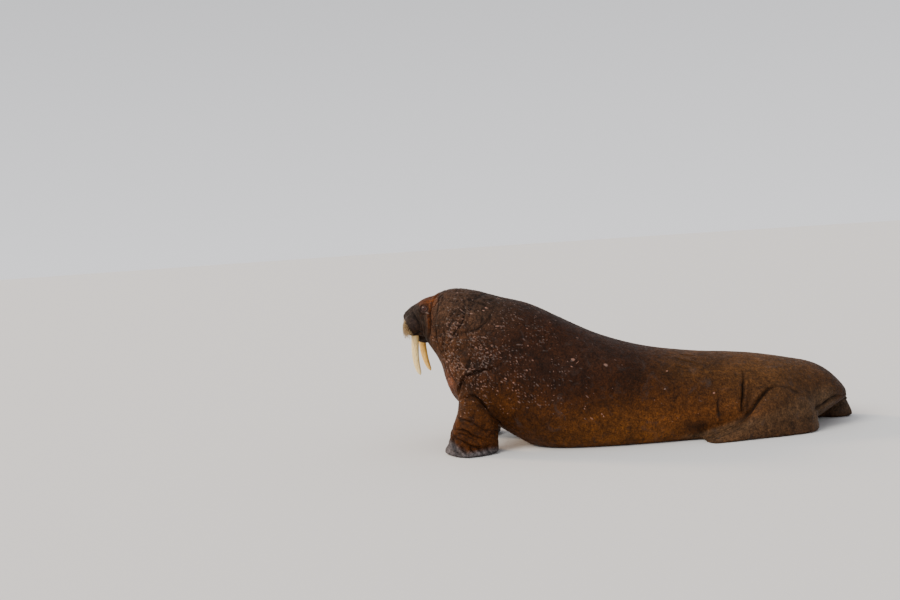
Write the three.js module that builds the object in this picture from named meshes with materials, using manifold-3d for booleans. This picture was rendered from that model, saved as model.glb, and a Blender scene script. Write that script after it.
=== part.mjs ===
// A life-size adult bull walrus lying on its belly, propped on its fore flippers with the head up and
// turned a little to its right, and both hind feet folded forward under the rump.
// Millimetres. +Z is up, the head is towards -X, and the animal's left side faces -Y.
import * as THREE from "three";
import { mergeVertices } from "three/addons/utils/BufferGeometryUtils.js";
import Module from "manifold-3d";

const wasm = await Module();
wasm.setup();

// Clearances and fixed draws
const gap = 0.4; // left between two pieces that touch
const seed = 20417;

// The trunk, from inside the head to the tail root: each place has the back's point and the underside's
// point in the side view (x, z), the half width there, and how far the section leans to the right
const trunkPlaces = {
  insideHead: { back: [-66, 1000], under: [-96, 778], half: 104, aside: 54 },
  nape: { back: [0, 1060], under: [-50, 688], half: 178, aside: 33 },
  neck: { back: [125, 1097], under: [4, 585], half: 256, aside: 8 },
  throat: { back: [268, 1074], under: [36, 458], half: 322, aside: 0 },
  brisket: { back: [440, 1019], under: [104, 322], half: 378, aside: 0 },
  shoulder: { back: [645, 956], under: [392, 114], half: 442, aside: 0 },
  girth: { back: [860, 842], under: [690, -58], half: 494, aside: 0 },
  ribs: { back: [1110, 714], under: [1010, -98], half: 508, aside: 0 },
  waist: { back: [1420, 610], under: [1370, -100], half: 488, aside: 0 },
  loin: { back: [1775, 548], under: [1750, -88], half: 446, aside: 0 },
  hip: { back: [2110, 516], under: [2100, -62], half: 408, aside: 0 },
  rump: { back: [2420, 461], under: [2400, -14], half: 356, aside: 0 },
  buttock: { back: [2640, 394], under: [2600, 78], half: 286, aside: 0 },
  tailRoot: { back: [2760, 276], under: [2736, 150], half: 190, aside: 0 },
  end: { back: [2816, 198], under: [2810, 164], half: 74, aside: 0 },
};
const trunkAround = 40;
const trunkRows = 64;
const widestLevel = { head: 0.32, body: 0.45 }; // share of the section's height at which it is widest
const backRoundness = 2.15; // exponents of the section's super-ellipse
const bellyRoundness = 2.9;
const trunkEnds = { front: 0.03, rear: 0.06 }; // shares of the length over which the ends close
const neckEnd = 0.3; // share of the length up to which the trunk follows the head
const followFrom = { low: 620, high: 900 }; // heights between which the neck starts to turn with the head

// Swellings and hollows of the trunk's sides in the side view (x, z)
const swellings = [
  { at: [285, 430], reach: [205, 120], height: 62 }, // chest over the forearm
  { at: [2250, 230], reach: [210, 150], height: 40 }, // thigh
  { at: [640, 500], reach: [320, 260], height: -12 }, // hollow behind the shoulder
];

// The head, in its own frame: forward of the muzzle's front, to its left, and up from the floor
const muzzleFront = new THREE.Vector3(-250, 114, 0);
const headTurn = THREE.MathUtils.degToRad(18); // away to the animal's right
const headLobes = [
  { at: [-262, 0, 934], size: [172, 136, 118] }, // cranium
  { at: [-122, 0, 902], size: [94, 92, 96] }, // snout
  { at: [-52, 0, 912], size: [48, 54, 38] }, // nose
];
const headPairs = [
  { at: [-103, 70, 854], size: [62, 74, 80] }, // whisker pads
  { at: [-205, 82, 856], size: [78, 64, 102] }, // cheeks
  { at: [-214, 92, 986], size: [48, 34, 36] }, // brows
];
const headBlend = 24; // how softly the lobes run together
const headCentre = [-185, 0, 882];
const headAround = 36;
const headRows = 28;
const headCrowding = 1.12; // above one, the rows lie closer together at the muzzle
const jawLobe = { at: [-162, 0, 772], size: [74, 60, 52] };
const jawAround = 22;
const jawRows = 14;
const eye = { f: -214, u: 974, radius: 20, sunk: 13 };
const lids = { radius: 19, thick: 6, long: 1.15, high: 0.9 };
const nostril = { f: -20, l: 23, u: 932, size: [20, 7, 15] };

// Tusks, in the head's frame
const tuskLine = {
  gum: [-111, 63, 790],
  middle: [-112, 88, 657],
  low: [-126, 102, 568],
  tip: [-148, 111, 504],
};
const tuskHalf = { along: 29, across: 22 };
const tuskRoot = { up: 62, inward: 8 }; // how far it runs up inside the muzzle
const tuskTaper = { share: 0.52, power: 2.2, tip: 0.12 };

// Forearms, from under the chest down: distance behind the wrist, distance from the middle line (or
// inward of the wrist), height, and half the size from front to back and from side to side
const armSections = [
  { back: 95, out: 205, up: 600, fore: 140, aside: 96 },
  { back: 62, out: 280, up: 430, fore: 136, aside: 106 },
  { back: 42, inward: 22, up: 300, fore: 130, aside: 104 },
  { back: 28, inward: 12, up: 200, fore: 147, aside: 98 },
  { back: 10, inward: 14, up: 110, fore: 166, aside: 94 },
  { back: -12, inward: 34, up: -30, fore: 176, aside: 98 },
];
const nearArm = { wrist: [188, 356], pointing: 116 }; // degrees outward from straight ahead
const farArm = { wrist: [236, 350], pointing: 108 };
const handLength = { heel: 170, toes: 176 }; // from the wrist

// Hands and feet: half width and height over the floor, in even steps from the heel to the toes
const rayCount = 5;
const soleDepth = 25;
const limbRoundness = 2.3;
const handSections = [
  { half: 150, thick: 96 },
  { half: 168, thick: 98 },
  { half: 170, thick: 84 },
  { half: 168, thick: 62 },
  { half: 152, thick: 40 },
  { half: 116, thick: 24 },
];
const nearFootSections = [
  { half: 92, thick: 236 },
  { half: 114, thick: 304 },
  { half: 120, thick: 338 },
  { half: 112, thick: 276 },
  { half: 104, thick: 116 },
  { half: 100, thick: 68 },
  { half: 80, thick: 26 },
];
const farFootSections = [
  { half: 70, thick: 142 },
  { half: 96, thick: 190 },
  { half: 104, thick: 186 },
  { half: 104, thick: 130 },
  { half: 112, thick: 74 },
  { half: 116, thick: 36 },
];
const handRays = { from: 0.4, tips: 10, outer: -34, height: 8 };
const footRays = { from: 0.5, tips: 10, outer: 24, height: 6 };
const nearFoot = { heel: [2530, -290], tip: [1672, -502] };
const farFoot = { heel: [2902, 62], tip: [2240, 425] };

// The tail, a small flat flap under the rump
const tailRoot = [2730, -12, 186];
const tailSize = { length: 142, half: 58, thick: 24, drop: 66 };

// Whiskers on each pad: rows from the lip up, columns from the middle line outward
const whiskers = {
  rows: 6,
  columns: 8,
  lowest: -50, // degrees from level, seen from the middle of the pad
  climb: 86,
  inmost: -38, // degrees from straight ahead
  fan: 118,
  radius: 2.1,
  root: 11,
  shortest: 28,
  longest: 50,
  bend: 0.1, // share of the length by which the tip sinks
  lean: { ahead: 0.12, fanAhead: 0.25, fanOut: 0.42, down: 0.9 },
  growth: { outer: 0.35, low: 0.65, uneven: 0.15 },
  jitter: 0.3,
};

const vec = (a) => new THREE.Vector3(a[0], a[1], a[2]);

// A closed solid from a geometry, with its faces turned outward
function solidOf(geometry) {
  const plain = geometry.clone();
  plain.deleteAttribute("normal");
  plain.deleteAttribute("uv");
  const merged = mergeVertices(plain, 1e-3);
  const triVerts = new Uint32Array(merged.index.array);
  const vertProperties = merged.attributes.position.array;
  const made = new wasm.Manifold(new wasm.Mesh({ numProp: 3, vertProperties, triVerts }));
  if (made.volume() > 0) return made;
  for (let i = 0; i < triVerts.length; i += 3) {
    [triVerts[i + 1], triVerts[i + 2]] = [triVerts[i + 2], triVerts[i + 1]];
  }
  return new wasm.Manifold(new wasm.Mesh({ numProp: 3, vertProperties, triVerts }));
}

// A sphere whose rows run along a body and whose columns run round it; each end row is one point
function wrap(around, rows, place) {
  const sphere = new THREE.SphereGeometry(1, around, rows);
  const position = sphere.attributes.position;
  for (let i = 0; i < position.count; i += 1) {
    const row = Math.floor(i / (around + 1));
    const column = row === 0 || row === rows ? 0 : (i % (around + 1)) % around;
    const p = place(row / rows, (column / around) * 2 * Math.PI);
    position.setXYZ(i, p.x, p.y, p.z);
  }
  return sphere;
}

function largest(solid) {
  return solid.decompose().reduce((a, b) => (a.volume() > b.volume() ? a : b));
}

function box(centre, size, turn = 0) {
  const geometry = new THREE.BoxGeometry(size[0], size[1], size[2]);
  geometry.rotateZ(turn);
  geometry.translate(centre[0], centre[1], centre[2]);
  return solidOf(geometry);
}

const room = 8000;
const aboveFloor = box([0, 0, room / 2], [room, room, room]);

// Everything on the far side of a plane through a point, facing along a normal
function beyond(point, normal) {
  const geometry = new THREE.BoxGeometry(room, room, room);
  geometry.translate(0, 0, room / 2);
  const turn = new THREE.Quaternion().setFromUnitVectors(
    new THREE.Vector3(0, 0, 1),
    normal.clone().normalize(),
  );
  geometry.applyQuaternion(turn);
  geometry.translate(point.x, point.y, point.z);
  return solidOf(geometry);
}

// Splits a solid by a plane into the two sides, each set back by half the gap
function split(solid, point, normal) {
  const unit = normal.clone().normalize();
  const front = beyond(point.clone().addScaledVector(unit, gap / 2), unit);
  const back = beyond(point.clone().addScaledVector(unit, -gap / 2), unit.clone().negate());
  return [largest(solid.intersect(front)), largest(solid.intersect(back))];
}

function random(state) {
  let s = state;
  return () => {
    s = (Math.imul(s, 1664525) + 1013904223) >>> 0;
    return s / 4294967296;
  };
}

// Super-ellipse: how far along an axis a point at this angle lies, from -1 to 1
function rounded(value, roundness) {
  return Math.sign(value) * Math.abs(value) ** (2 / roundness);
}

// Trunk

const places = Object.values(trunkPlaces);
const backLine = new THREE.CatmullRomCurve3(places.map((p) => vec([p.back[0], p.aside, p.back[1]])));
const underLine = new THREE.CatmullRomCurve3(places.map((p) => vec([p.under[0], p.half, p.under[1]])));

function swelling(x, z) {
  let sum = 0;
  for (const s of swellings) {
    const d = ((x - s.at[0]) / s.reach[0]) ** 2 + ((z - s.at[1]) / s.reach[1]) ** 2;
    sum += s.height * Math.exp(-d);
  }
  return sum;
}

function trunkPoint(t, angle, grow) {
  const back = backLine.getPoint(t);
  const under = underLine.getPoint(t);
  const across = Math.cos(angle);
  const upward = Math.sin(angle);
  const toEnd = Math.max(0, 1 - (1 - t) / trunkEnds.rear);
  const shrink = Math.sqrt(1 - toEnd ** 2) * Math.sqrt(Math.min(1, t / trunkEnds.front));
  const roundness = upward > 0 ? backRoundness : bellyRoundness;
  const level = THREE.MathUtils.lerp(
    widestLevel.head,
    widestLevel.body,
    THREE.MathUtils.smoothstep(t, 0, neckEnd),
  );
  const share = upward > 0 ? 1 - level : level;
  const lift = new THREE.Vector3(back.x - under.x, 0, back.z - under.z);
  const centre = new THREE.Vector3(under.x, back.y, under.z).addScaledVector(lift, level);
  const rise = lift.length() * share * rounded(upward, roundness) * shrink;
  const p = centre.addScaledVector(lift.clone().normalize(), rise);
  p.y += under.y * rounded(across, roundness) * shrink;
  const outward = new THREE.Vector3(0, across, 0).addScaledVector(lift.normalize(), upward);
  const offTheMiddle = Math.min(1, 1.5 * Math.abs(across));
  p.addScaledVector(outward, grow + offTheMiddle * swelling(p.x, p.z));
  const near = 1 - THREE.MathUtils.smoothstep(t, 0.05, neckEnd);
  const high = THREE.MathUtils.smoothstep(p.z, followFrom.low, followFrom.high);
  p.x += Math.tan(headTurn) * near * high * (p.y - back.y);
  return p;
}

function trunk(grow = 0) {
  const geometry = wrap(trunkAround, trunkRows, (t, angle) => trunkPoint(t, angle, grow));
  return solidOf(geometry).intersect(aboveFloor);
}

// Head

const forward = new THREE.Vector3(-Math.cos(headTurn), Math.sin(headTurn), 0);
const leftward = new THREE.Vector3(-Math.sin(headTurn), -Math.cos(headTurn), 0);

// From the head's own frame to the part's
function fromHead(f, l, u) {
  return muzzleFront
    .clone()
    .addScaledVector(forward, f)
    .addScaledVector(leftward, l)
    .add(new THREE.Vector3(0, 0, u));
}

function lobeDistance(p, at, size) {
  const q = [(p[0] - at[0]) / size[0], (p[1] - at[1]) / size[1], (p[2] - at[2]) / size[2]];
  const near = Math.hypot(q[0], q[1], q[2]);
  const steep = Math.hypot(q[0] / size[0], q[1] / size[1], q[2] / size[2]);
  return steep > 0 ? (near * (near - 1)) / steep : -Math.min(...size);
}

function softUnion(a, b, blend) {
  const h = Math.max(blend - Math.abs(a - b), 0) / blend;
  return Math.min(a, b) - (h * h * blend) / 4;
}

// Below zero inside the head, above zero outside
function headField(f, l, u) {
  let d = Infinity;
  for (const lobe of headLobes) d = softUnion(d, lobeDistance([f, l, u], lobe.at, lobe.size), headBlend);
  for (const lobe of headPairs) {
    for (const side of [1, -1]) {
      d = softUnion(d, lobeDistance([f, l * side, u], lobe.at, lobe.size), headBlend);
    }
  }
  return d;
}

// How far from a point the skin lies in a direction, searched from outside in
function reachTo(field, from, direction, grow, most = 420) {
  const at = (r) => field(...from.map((v, i) => v + direction[i] * r)) - grow;
  let outer = most;
  while (outer > 0 && at(outer) > 0) outer -= 5;
  let inner = outer;
  outer += 5;
  for (let i = 0; i < 18; i += 1) {
    const middle = (inner + outer) / 2;
    if (at(middle) > 0) outer = middle;
    else inner = middle;
  }
  return inner;
}

function headSkin(field, from, around, rows, grow, crowd) {
  const geometry = wrap(around, rows, (t, angle) => {
    const tilt = Math.PI * t ** crowd;
    const d = [Math.cos(tilt), Math.sin(tilt) * Math.cos(angle), Math.sin(tilt) * Math.sin(angle)];
    const r = reachTo(field, from, d, grow);
    return fromHead(from[0] + d[0] * r, from[1] + d[1] * r, from[2] + d[2] * r);
  });
  return solidOf(geometry);
}

const jawField = (f, l, u) => lobeDistance([f, l, u], jawLobe.at, jawLobe.size);

// Where the head's side lies at a height and a distance behind the muzzle
function sideOf(f, u) {
  return reachTo(headField, [f, 0, u], [0, 1, 0], 0);
}

function ellipsoidAt(f, l, u, size, around = 12, rows = 8) {
  const geometry = new THREE.SphereGeometry(1, around, rows);
  geometry.scale(size[0], size[1], size[2]);
  geometry.rotateZ(Math.PI - headTurn);
  const p = fromHead(f, l, u);
  geometry.translate(p.x, p.y, p.z);
  return solidOf(geometry);
}

function eyeball(side, grow) {
  const l = side * (sideOf(eye.f, eye.u) - eye.sunk);
  const r = eye.radius + grow;
  return ellipsoidAt(eye.f, l, eye.u, [r, r, r], 12, 8);
}

function eyeLids(side) {
  const ring = new THREE.TorusGeometry(lids.radius, lids.thick, 5, 14);
  ring.scale(lids.long, lids.high, 1);
  ring.rotateX(Math.PI / 2);
  ring.rotateZ(Math.PI - headTurn);
  const p = fromHead(eye.f, side * (sideOf(eye.f, eye.u) - 1), eye.u);
  ring.translate(p.x, p.y, p.z);
  return solidOf(ring);
}

// Tusks

function tuskGeometry(side, grow) {
  const points = Object.values(tuskLine).map((p) => fromHead(p[0], side * p[1], p[2]));
  const [f, l, u] = tuskLine.gum;
  points.unshift(fromHead(f, side * (l - tuskRoot.inward), u + tuskRoot.up));
  const line = new THREE.CatmullRomCurve3(points);
  return wrap(14, 16, (t, angle) => {
    const p = line.getPoint(t);
    const thin = 1 - tuskTaper.share * t ** tuskTaper.power;
    const cap = Math.sqrt(Math.min(1, (1 - t) / tuskTaper.tip, t / 0.02));
    const along = (tuskHalf.along * thin * cap + grow) * Math.cos(angle);
    const across = (tuskHalf.across * thin * cap + grow) * Math.sin(angle);
    p.addScaledVector(line.getTangent(t), (t < 0.5 ? -grow : grow) * Math.sqrt(1 - cap * cap));
    return p.addScaledVector(forward, along).addScaledVector(leftward, across);
  });
}

// Whiskers

function whisker(root, out, length, droop) {
  const cone = new THREE.ConeGeometry(whiskers.radius, length, 3, 2);
  const side = new THREE.Vector3(0, 0, 1).cross(out).normalize();
  const third = new THREE.Vector3().crossVectors(out, side);
  const position = cone.attributes.position;
  for (let i = 0; i < position.count; i += 1) {
    const s = (position.getY(i) + length / 2) / length;
    const p = root.clone().addScaledVector(out, s * length - whiskers.root);
    p.z -= droop * s * s;
    p.addScaledVector(side, position.getX(i)).addScaledVector(third, position.getZ(i));
    position.setXYZ(i, p.x, p.y, p.z);
  }
  return solidOf(cone);
}

function whiskersOn(side) {
  const draw = random(seed + side);
  const pad = headPairs[0].at;
  const { lean, growth } = whiskers;
  const made = [];
  for (let row = 0; row < whiskers.rows; row += 1) {
    for (let column = 0; column < whiskers.columns; column += 1) {
      const high = (row + whiskers.jitter * draw()) / whiskers.rows;
      const outer = (column + whiskers.jitter * draw()) / whiskers.columns;
      const lift = THREE.MathUtils.degToRad(whiskers.lowest + whiskers.climb * high);
      const swing = THREE.MathUtils.degToRad(whiskers.inmost + whiskers.fan * outer);
      const d = [
        Math.cos(lift) * Math.cos(swing),
        side * Math.cos(lift) * Math.sin(swing),
        Math.sin(lift),
      ];
      const from = [pad[0], side * pad[1], pad[2]];
      const r = reachTo(headField, from, d, 0, 120);
      const root = fromHead(from[0] + d[0] * r, from[1] + d[1] * r, from[2] + d[2] * r);
      const out = forward
        .clone()
        .multiplyScalar(d[0] * lean.fanAhead + lean.ahead)
        .addScaledVector(leftward, d[1] * lean.fanOut)
        .add(new THREE.Vector3(0, 0, -lean.down))
        .normalize();
      const grown = growth.outer * outer + growth.low * (1 - high) - growth.uneven * draw();
      const length = THREE.MathUtils.lerp(whiskers.shortest, whiskers.longest, grown);
      made.push(whisker(root, out, length + whiskers.root, length * whiskers.bend));
    }
  }
  return made;
}

// Limbs

// From under the chest to the hand, wide from front to back
function forearm(side, wrist) {
  const line = new THREE.CatmullRomCurve3(
    armSections.map((s) => vec([wrist[0] + s.back, side * (s.out ?? wrist[1] - s.inward), s.up])),
  );
  const girth = new THREE.CatmullRomCurve3(armSections.map((s) => vec([s.fore, s.aside, 0])));
  const geometry = wrap(22, 12, (t, angle) => {
    const p = line.getPoint(t);
    const size = girth.getPoint(t);
    const along = line.getTangent(t);
    const sideways = new THREE.Vector3(0, 1, 0).addScaledVector(along, -along.y).normalize();
    const ahead = new THREE.Vector3().crossVectors(sideways, along);
    const cap = Math.sqrt(Math.min(1, (1 - t) / 0.06, t / 0.1));
    return p
      .addScaledVector(ahead, size.x * cap * rounded(Math.cos(angle), limbRoundness))
      .addScaledVector(sideways, size.y * cap * rounded(Math.sin(angle), limbRoundness));
  });
  return solidOf(geometry);
}

// A flat hand or foot lying on its sole: sections from heel to toes, with five rays fanning out
function paddle(heel, tip, sections, rays, around = 38, rows = 14) {
  const along = new THREE.Vector3(tip[0] - heel[0], tip[1] - heel[1], 0);
  const length = along.length();
  along.normalize();
  const sideways = new THREE.Vector3(0, 0, 1).cross(along);
  const shape = new THREE.CatmullRomCurve3(sections.map((s) => vec([s.half, s.thick, 0])));
  const geometry = wrap(around, rows, (t, angle) => {
    const size = shape.getPoint(t);
    const across = rounded(Math.cos(angle), limbRoundness);
    const high = rounded(Math.sin(angle), limbRoundness);
    const cap = Math.sqrt(Math.min(1, (1 - t) / 0.07, t / 0.12));
    const web = Math.cos(across * Math.PI * rayCount);
    const spread = THREE.MathUtils.smoothstep(t, rays.from, 1);
    const reach = t * length + spread * (rays.tips * (web - 1) + rays.outer * (across ** 2 - 0.4));
    const top = high > 0 ? size.y + spread * rays.height * web : soleDepth;
    return new THREE.Vector3(heel[0], heel[1], 0)
      .addScaledVector(along, reach)
      .addScaledVector(sideways, across * size.x * cap)
      .add(new THREE.Vector3(0, 0, top * high * cap));
  });
  return solidOf(geometry).intersect(aboveFloor);
}

function foreFlipper(side, { wrist, pointing }) {
  const turn = THREE.MathUtils.degToRad(pointing);
  const way = [-Math.cos(turn), side * Math.sin(turn)];
  const fromWrist = (far) => [wrist[0] + way[0] * far, side * wrist[1] + way[1] * far];
  const hand = paddle(fromWrist(-handLength.heel), fromWrist(handLength.toes), handSections, handRays);
  return forearm(side, wrist).intersect(aboveFloor).add(hand);
}

function tail(grow) {
  const geometry = wrap(16, 10, (t, angle) => {
    const cap = Math.sqrt(Math.min(1, (1 - t) / 0.35, t / 0.1));
    const narrow = cap * (1 - 0.5 * t);
    return new THREE.Vector3(
      tailRoot[0] + t * tailSize.length + (t === 1 ? grow : 0),
      tailRoot[1] + Math.cos(angle) * (tailSize.half * narrow + grow),
      tailRoot[2] - tailSize.drop * t + Math.sin(angle) * (tailSize.thick * narrow + grow),
    );
  });
  return solidOf(geometry);
}

// Assembly

const hide = { color: 0x4a2f1e, roughness: 0.82, metalness: 0 };
const hideDark = { color: 0x3a2c26, roughness: 0.8, metalness: 0 };
const palm = { color: 0x47413f, roughness: 0.7, metalness: 0 };
const ivory = { color: 0xe2d2a8, roughness: 0.35, metalness: 0 };
const dark = { color: 0x1c0f0c, roughness: 0.08, metalness: 0 };

function meshOf(name, solid, look) {
  const made = solid.getMesh();
  const step = made.numProp;
  const points = new Float32Array(made.numVert * 3);
  for (let i = 0; i < made.numVert; i += 1) {
    points.set(made.vertProperties.subarray(i * step, i * step + 3), i * 3);
  }
  const geometry = new THREE.BufferGeometry();
  geometry.setAttribute("position", new THREE.BufferAttribute(points, 3));
  geometry.setIndex(new THREE.BufferAttribute(new Uint32Array(made.triVerts), 1));
  geometry.computeVertexNormals();
  const mesh = new THREE.Mesh(geometry, new THREE.MeshStandardMaterial(look));
  mesh.name = name;
  return mesh;
}

function without(solid, ...cutters) {
  return largest(cutters.reduce((left, cutter) => left.subtract(cutter), solid));
}

const wholeTrunk = trunk();
const aroundTrunk = trunk(gap);
const face = headSkin(headField, headCentre, headAround, headRows, 0, headCrowding);
const aroundFace = headSkin(headField, headCentre, headAround, headRows, gap, headCrowding);
const tuskSpace = [1, -1].map((side) => solidOf(tuskGeometry(side, gap)));
const eyeSpace = [1, -1].map((side) => eyeball(side, gap));
const nostrils = [1, -1].map((side) => {
  return ellipsoidAt(nostril.f, side * nostril.l, nostril.u, nostril.size, 10, 8);
});

let whole = face.add(wholeTrunk);
for (const side of [1, -1]) whole = whole.add(eyeLids(side));
whole = without(whole, ...tuskSpace, ...eyeSpace, ...nostrils);

// Cuts between the trunk's parts, each through a point of the back and square to the spine there
const headCut = { at: fromHead(-232, 0, 900), normal: new THREE.Vector3(-0.93, 0.28, 0.22) };
const neckCut = { at: new THREE.Vector3(150, 0, 760), normal: new THREE.Vector3(-0.95, 0, 0.36) };
const chestCut = { at: new THREE.Vector3(1010, 0, 400), normal: new THREE.Vector3(-1, 0, 0.1) };
const rumpCut = { at: new THREE.Vector3(1965, 0, 250), normal: new THREE.Vector3(-1, 0, 0) };

const [headPart, restOfBody] = split(whole, headCut.at, headCut.normal);
const [neckPart, afterNeck] = split(restOfBody, neckCut.at, neckCut.normal);
const [chestPart, afterChest] = split(afterNeck, chestCut.at, chestCut.normal);
const [bellyPart, rumpPart] = split(afterChest, rumpCut.at, rumpCut.normal);
const [muzzlePlain, headOnly] = split(headPart, fromHead(-118, 0, 870), forward);

const bristled = [...whiskersOn(1), ...whiskersOn(-1)].reduce((sum, w) => sum.add(w), muzzlePlain);
const muzzle = without(bristled, ...tuskSpace);
const jaw = without(
  headSkin(jawField, jawLobe.at, jawAround, jawRows, 0, 1),
  aroundFace,
  aroundTrunk,
  ...tuskSpace,
);

const walrus = new THREE.Group();
walrus.add(meshOf("muzzle", muzzle, hideDark));
walrus.add(meshOf("head", headOnly, hideDark));
walrus.add(meshOf("lower_jaw", jaw, hideDark));
walrus.add(meshOf("neck", neckPart, hide));
walrus.add(meshOf("chest", chestPart, hide));
walrus.add(meshOf("belly", bellyPart, hide));
walrus.add(meshOf("rump", rumpPart, hide));
walrus.add(meshOf("tail", without(tail(0), aroundTrunk), hide));

for (const [name, side] of [["left", 1], ["right", -1]]) {
  walrus.add(meshOf(`eye_${name}`, eyeball(side, 0), dark));
  walrus.add(meshOf(`tusk_${name}`, solidOf(tuskGeometry(side, 0)), ivory));
}

const leftHind = paddle(nearFoot.heel, nearFoot.tip, nearFootSections, footRays);
const rightHind = paddle(farFoot.heel, farFoot.tip, farFootSections, footRays);
walrus.add(meshOf("fore_flipper_left", without(foreFlipper(-1, nearArm), aroundTrunk), palm));
walrus.add(meshOf("fore_flipper_right", without(foreFlipper(1, farArm), aroundTrunk), palm));
walrus.add(meshOf("hind_flipper_left", without(leftHind, aroundTrunk), palm));
walrus.add(meshOf("hind_flipper_right", without(rightHind, aroundTrunk, tail(gap)), palm));

// The origin is under the middle of the whole animal, on the floor
const size = new THREE.Box3().setFromObject(walrus, true);
walrus.position.set(-(size.min.x + size.max.x) / 2, -(size.min.y + size.max.y) / 2, -size.min.z);

export default walrus;
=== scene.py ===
# A bull walrus lying on its belly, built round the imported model: one skin over the flesh, with its
# folds, lids and nostrils, and separate eyes, tusks, whiskers, warts, hair and nails.
# Metres, +Z up, the head towards -X, the animal's left side towards -Y.
import math
import random

import bmesh
import bpy
import numpy as np
from mathutils import Matrix, Vector, noise
from mathutils.bvhtree import BVHTree


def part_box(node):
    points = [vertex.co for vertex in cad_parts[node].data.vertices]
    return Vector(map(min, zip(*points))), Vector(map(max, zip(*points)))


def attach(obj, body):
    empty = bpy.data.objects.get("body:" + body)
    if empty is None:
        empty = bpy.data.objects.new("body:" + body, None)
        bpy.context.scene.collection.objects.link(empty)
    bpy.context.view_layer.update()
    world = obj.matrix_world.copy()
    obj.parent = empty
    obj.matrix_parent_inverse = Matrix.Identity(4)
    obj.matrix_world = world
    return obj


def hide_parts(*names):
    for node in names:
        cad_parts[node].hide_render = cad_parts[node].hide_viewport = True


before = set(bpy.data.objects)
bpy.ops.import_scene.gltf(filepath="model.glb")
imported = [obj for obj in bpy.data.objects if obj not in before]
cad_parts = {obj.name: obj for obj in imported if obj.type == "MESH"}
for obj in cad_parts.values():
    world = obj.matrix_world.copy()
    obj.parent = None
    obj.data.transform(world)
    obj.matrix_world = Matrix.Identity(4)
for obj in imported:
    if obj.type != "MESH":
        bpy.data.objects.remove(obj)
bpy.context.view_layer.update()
scene = bpy.context.scene
up = Vector((0, 0, 1))
boxes = {node: [np.array(corner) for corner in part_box(node)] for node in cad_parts}


# Helpers

def smooth(low, high, value):
    t = np.clip((value - low) / (high - low), 0, 1)
    return t * t * (3 - 2 * t)


def bump(value, centre, reach):
    return np.exp(-((value - centre) / reach) ** 2)


def between(ends, share):
    return ends[0] + (ends[1] - ends[0]) * share


def awayFrom(co, centre):
    return np.linalg.norm(co - np.array(centre), axis=1)


def insideBox(co, low, high):
    return np.all((co > low) & (co < high), axis=1)


def asArrays(hits):
    return [np.array(hit) for hit in hits if hit is not None]


def addObject(name, data):
    made = bpy.data.objects.new(name, data)
    scene.collection.objects.link(made)
    return made


def newObject(name, bm):
    mesh = bpy.data.meshes.new(name)
    bm.to_mesh(mesh)
    bm.free()
    return addObject(name, mesh)


def meshCopy(*meshes):
    bm = bmesh.new()
    for mesh in meshes:
        bm.from_mesh(mesh)
    return bm


def writeBack(bm, made):
    bm.to_mesh(made.data)
    bm.free()


def treeOf(*meshes):
    bm = meshCopy(*meshes)
    tree = BVHTree.FromBMesh(bm)
    bm.free()
    return tree


def applyModifiers(made):
    bpy.context.view_layer.update()
    ready = made.evaluated_get(bpy.context.evaluated_depsgraph_get())
    mesh = bpy.data.meshes.new_from_object(ready)
    old = made.data
    made.modifiers.clear()
    made.data = mesh
    mesh.name = made.name
    bpy.data.meshes.remove(old)


def voxelRemesh(made, size):
    step = made.modifiers.new("remesh", "REMESH")
    step.mode = "VOXEL"
    step.voxel_size = size
    applyModifiers(made)


def smoothVerts(bm, verts, times, factor=0.5):
    axes = {"use_axis_" + axis: True for axis in "xyz"}
    for step in range(times):
        bmesh.ops.smooth_vert(bm, verts=verts, factor=factor, **axes)


def vectorsOf(items, name):
    values = np.empty(len(items) * 3, np.float32)
    items.foreach_get(name, values)
    return values.reshape(-1, 3).astype(float)


def pointsOf(mesh):
    return vectorsOf(mesh.vertices, "co")


def shadeSmooth(made):
    for polygon in made.data.polygons:
        polygon.use_smooth = True


def addAttribute(mesh, name, values):
    kind, field = ("FLOAT", "value") if values.ndim == 1 else ("FLOAT_VECTOR", "vector")
    layer = mesh.attributes.new(name, kind, "POINT")
    layer.data.foreach_set(field, values.astype(np.float32).ravel())


# Nodes of the materials; an input takes a value or another node's output

def nodeIn(tree, kind, inputs=None, **settings):
    made = tree.nodes.new("ShaderNode" + kind)
    for key, value in settings.items():
        setattr(made, key, value)
    for key, value in (inputs or {}).items():
        if isinstance(value, bpy.types.NodeSocket):
            tree.links.new(value, made.inputs[key])
        else:
            made.inputs[key].default_value = value
    return made


def newMaterial(name, roughness=0.5, specular=0.5):
    material = bpy.data.materials.new(name)
    material.use_nodes = True
    shader = material.node_tree.nodes["Principled BSDF"]
    shader.inputs["Roughness"].default_value = roughness
    shader.inputs["Specular IOR Level"].default_value = specular
    return material, material.node_tree, shader


def placeOf(tree, scale=(1, 1, 1), centre=(0, 0, 0)):
    place = nodeIn(tree, "TexCoord").outputs["Object"]
    inputs = {"Vector": place, "Location": centre, "Scale": scale}
    return nodeIn(tree, "Mapping", inputs).outputs["Vector"]


def noiseIn(tree, place, scale, detail=4, rough=0.55, distortion=0.0):
    inputs = {"Vector": place, "Scale": scale, "Detail": detail, "Roughness": rough}
    return nodeIn(tree, "TexNoise", {**inputs, "Distortion": distortion}).outputs["Fac"]


def rangeOf(tree, value, low, high, toLow=0.0, toHigh=1.0):
    inputs = {"Value": value, "From Min": low, "From Max": high, "To Min": toLow, "To Max": toHigh}
    return nodeIn(tree, "MapRange", inputs).outputs["Result"]


def mathIn(tree, operation, a, b=0.0):
    return nodeIn(tree, "Math", {0: a, 1: b}, operation=operation).outputs[0]


def timesIn(tree, a, b):
    return mathIn(tree, "MULTIPLY", a, b)


def mixIn(tree, share, a, b):
    return nodeIn(tree, "Mix", {0: share, 6: a, 7: b}, data_type="RGBA").outputs[2]  # colour sockets


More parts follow.
